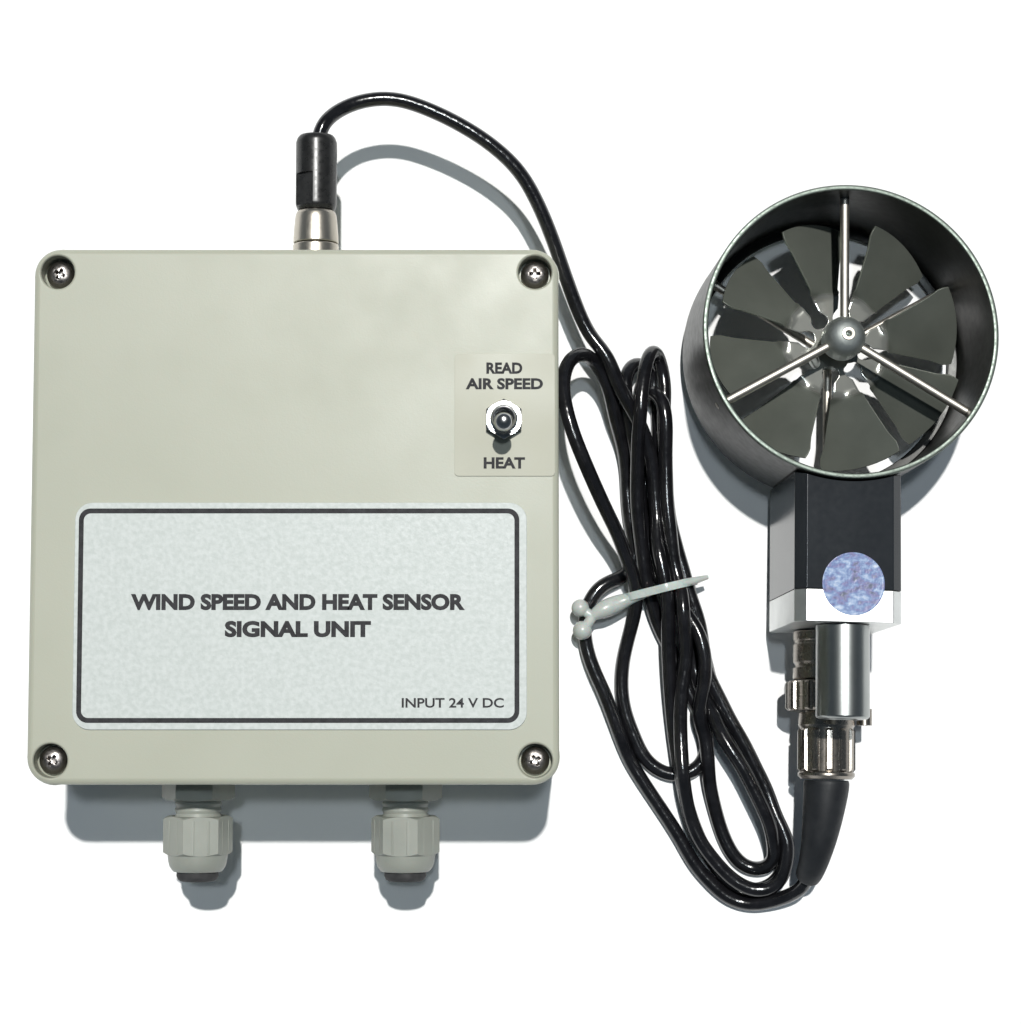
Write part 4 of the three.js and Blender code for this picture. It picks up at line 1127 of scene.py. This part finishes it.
knurl = ribbed("coupling_knurl", 28, 10, 9.45, 81.6, 88.8)
trim = turned("trim", [(0, 81.55), (9.3, 81.55), (10.1, 82.3), (10.1, 88.1), (9.3, 88.85), (0, 88.85)], 96)
cut(knurl, trim, how="INTERSECT")
cut(knurl, cylinder(5.6, 80, 90, around=64))
lug = cylinder(1.9, 88.0, 92, (9.3, 0), 32)
cut(lug, cylinder(0.9, 90, 93, (9.3, 0), 24))
unite(knurl, lug)
finished(knurl, plug_place, shade_darkened_nickel, "nickel", "plug_coupling_ring",
         body="coupling_ring", edge=0.07, angle=40)

plug = turned("plug_barrel", [
    (0, 84.4), (5.2, 84.4), (5.2, 89.2), (6.5, 89.2), (6.7, 89.5), (6.9, 92.2), (6.5, 92.8),
    (6.45, 103.4), (6.75, 103.6),
    (6.9, 103.9), (6.9, 104.5), (6.2, 105.2), (0, 105.2),
], 80)
flutes = ribbed("flutes", 12, 7, 6.3, 93.0, 103.4)
trim = turned("trim", [(0, 92.9), (6.4, 92.9), (7.05, 93.6), (7.05, 102.8), (6.4, 103.5), (0, 103.5)], 96)
cut(flutes, trim, how="INTERSECT")
unite(plug, flutes)
finished(plug, plug_place, shade_darkened_nickel, "nickel", "plug_body", edge=0.09, angle=36)


def tapered_tube(name, points, radii, sides):
    """A round piece that follows points, in mm, with its own radius at each."""
    piece = round_curve(name, [Vector(point) * MM for point in points], MM, sides, 6, 3, radii)
    choose(piece)
    bpy.ops.object.convert(target="MESH")
    in_edit(piece)
    weld()
    return piece


boot_rubber = surface("boot_rubber", (0.013, 0.014, 0.016), 0.5, shine=0.3)
tint(boot_rubber, (200, 4), (0.011, 0.0125, 0.015), (0.019, 0.021, 0.024))
roughen(boot_rubber, (700, 4), 0.42, 0.58)
emboss(boot_rubber, (1600, 2), 0.2, 0.0001)
boot = tapered_tube("boot_taper", [
    (0, -105.5, 0), (0, -105.9, 0), (0, -107.4, 0), (-0.4, -111, -0.1), (-1, -116, -0.5),
    (-1.7, -121, -1.4), (-2.5, -125.8, -3.4),
    (-3.1, -128.5, -6), (-3.2, -128.9, -6.4),
], [5.3, 5.6, 5.5, 5.2, 4.7, 4.1, 3.5, 3.2, 3.0], 14)
boot_place = head_place @ Matrix.Translation((0, 0, JACK_W * MM))
finished(boot, boot_place, boot_rubber, "black_rubber", "cord_boot", angle=40)

# ---- Cable tie ----
# A reusable nylon tie. Its strap goes once round the bundle, the tip sticks out on one side,
# and on the other a flat loop ends in two ball grips.

TIE_X, TIE_Y = 84.4, -15.4
TIE_TURN = 0.24
TIE_LEFT, TIE_RIGHT = -9, 13
STRAP_WIDTH, STRAP_WALL, STRAP_STEPS = 2.0, 0.75, 96
tie_along = np.array([cos(TIE_TURN), sin(TIE_TURN)])
tie_across = np.array([-sin(TIE_TURN), cos(TIE_TURN)])
from_tie = cord_line[:, :2] - np.array([TIE_X, TIE_Y])
beside = from_tie @ tie_across
spots = np.column_stack([from_tie @ tie_along, cord_line[:, 2]])
held = []
for i in range(len(cord_line) - 1):
    if beside[i] * beside[i + 1] <= 0 and abs(spots[i, 0]) < TIE_RIGHT:
        share = beside[i] / (beside[i] - beside[i + 1] + 1e-9)
        held.append(spots[i] + share * (spots[i + 1] - spots[i]))
held = np.array([spot for spot in held if spot[0] > TIE_LEFT])
clear_selection()
bpy.ops.mesh.primitive_circle_add(vertices=STRAP_STEPS, radius=10 * MM, fill_type="NOTHING")
strap = bpy.context.object
strap.name = "tie_strap"
for number, corner in enumerate(strap.data.vertices):
    angle = 2 * pi * number / STRAP_STEPS
    way = np.array([cos(angle), sin(angle)])
    widest = held[np.argmax(held @ way)] + way * (CORD_D / 2 + 0.15)
    corner.co = Vector((widest[0], -STRAP_WIDTH / 2, max(widest[1], STRAP_WALL))) * MM
draw_out(strap, (0, STRAP_WIDTH, 0))
thicken(strap, STRAP_WALL, 1)
strap_left = float(held[:, 0].min()) - CORD_D / 2
strap_right = float(held[:, 0].max()) + CORD_D / 2
clear_nylon = surface("clear_nylon", (0.45, 0.5, 0.48), 0.28, milky=(0.35, 0.003))
tint(clear_nylon, (130, 3), (0.38, 0.43, 0.41), (0.56, 0.6, 0.57))
roughen(clear_nylon, (600, 4), 0.22, 0.38)
tie_place = box_place @ shift(TIE_X, TIE_Y, 0) @ rotated(TIE_TURN)
finished(strap, tie_place, clear_nylon, "nylon", "cable_tie", edge=0.18)

top_z = float(held[:, 1].max()) + CORD_D / 2
tie_tail = tapered_tube("tie_tail", [
    (strap_left + 5, 0, top_z - 2), (strap_left + 1, -0.3, top_z - 3.6),
    (strap_left - 3, -0.9, top_z - 4.6), (-13, -1.5, 7.6), (-15.4, -2.1, 7.4), (-16.6, -2.6, 7.3),
], [1.1, 1.3, 2.2, 2.3, 1.5, 1.1], 10)
for spot, size in (((-18.6, 0.2, 7.0), 2.3), ((-19.4, -5.3, 6.6), 2.5)):
    ball = turned("ball", [
        (0, -size), (size * 0.5, -size * 0.87), (size * 0.87, -size * 0.5), (size, 0),
        (size * 0.87, size * 0.5), (size * 0.5, size * 0.87), (0, size),
    ], 32)
    smoother = ball.modifiers.new("smoother", "SUBSURF")
    smoother.levels = 1
    apply_all(ball)
    unite(tie_tail, put(ball, shift(*spot)))
    bend = (-17.4, -2.5 + (spot[1] + 2.5) * 0.5, 7.1)
    arm = tapered_tube("arm", [(-16.2, -2.5, 7.3), bend, spot], [1.3, 1.2, 1.3], 8)
    unite(tie_tail, arm)
finished(tie_tail, tie_place, clear_nylon, "nylon", angle=50)
tie_tip = tapered_tube("tie_tip", [
    (strap_right - 3.5, 0, top_z - 0.6), (strap_right - 0.5, 0, top_z - 1.6),
    (strap_right + 2, 0.1, top_z - 2.6), (strap_right + 3.4, 0.1, top_z - 3),
], [0.9, 0.95, 0.7, 0.55], 8)
finished(tie_tip, tie_place, clear_nylon, "nylon", angle=50)
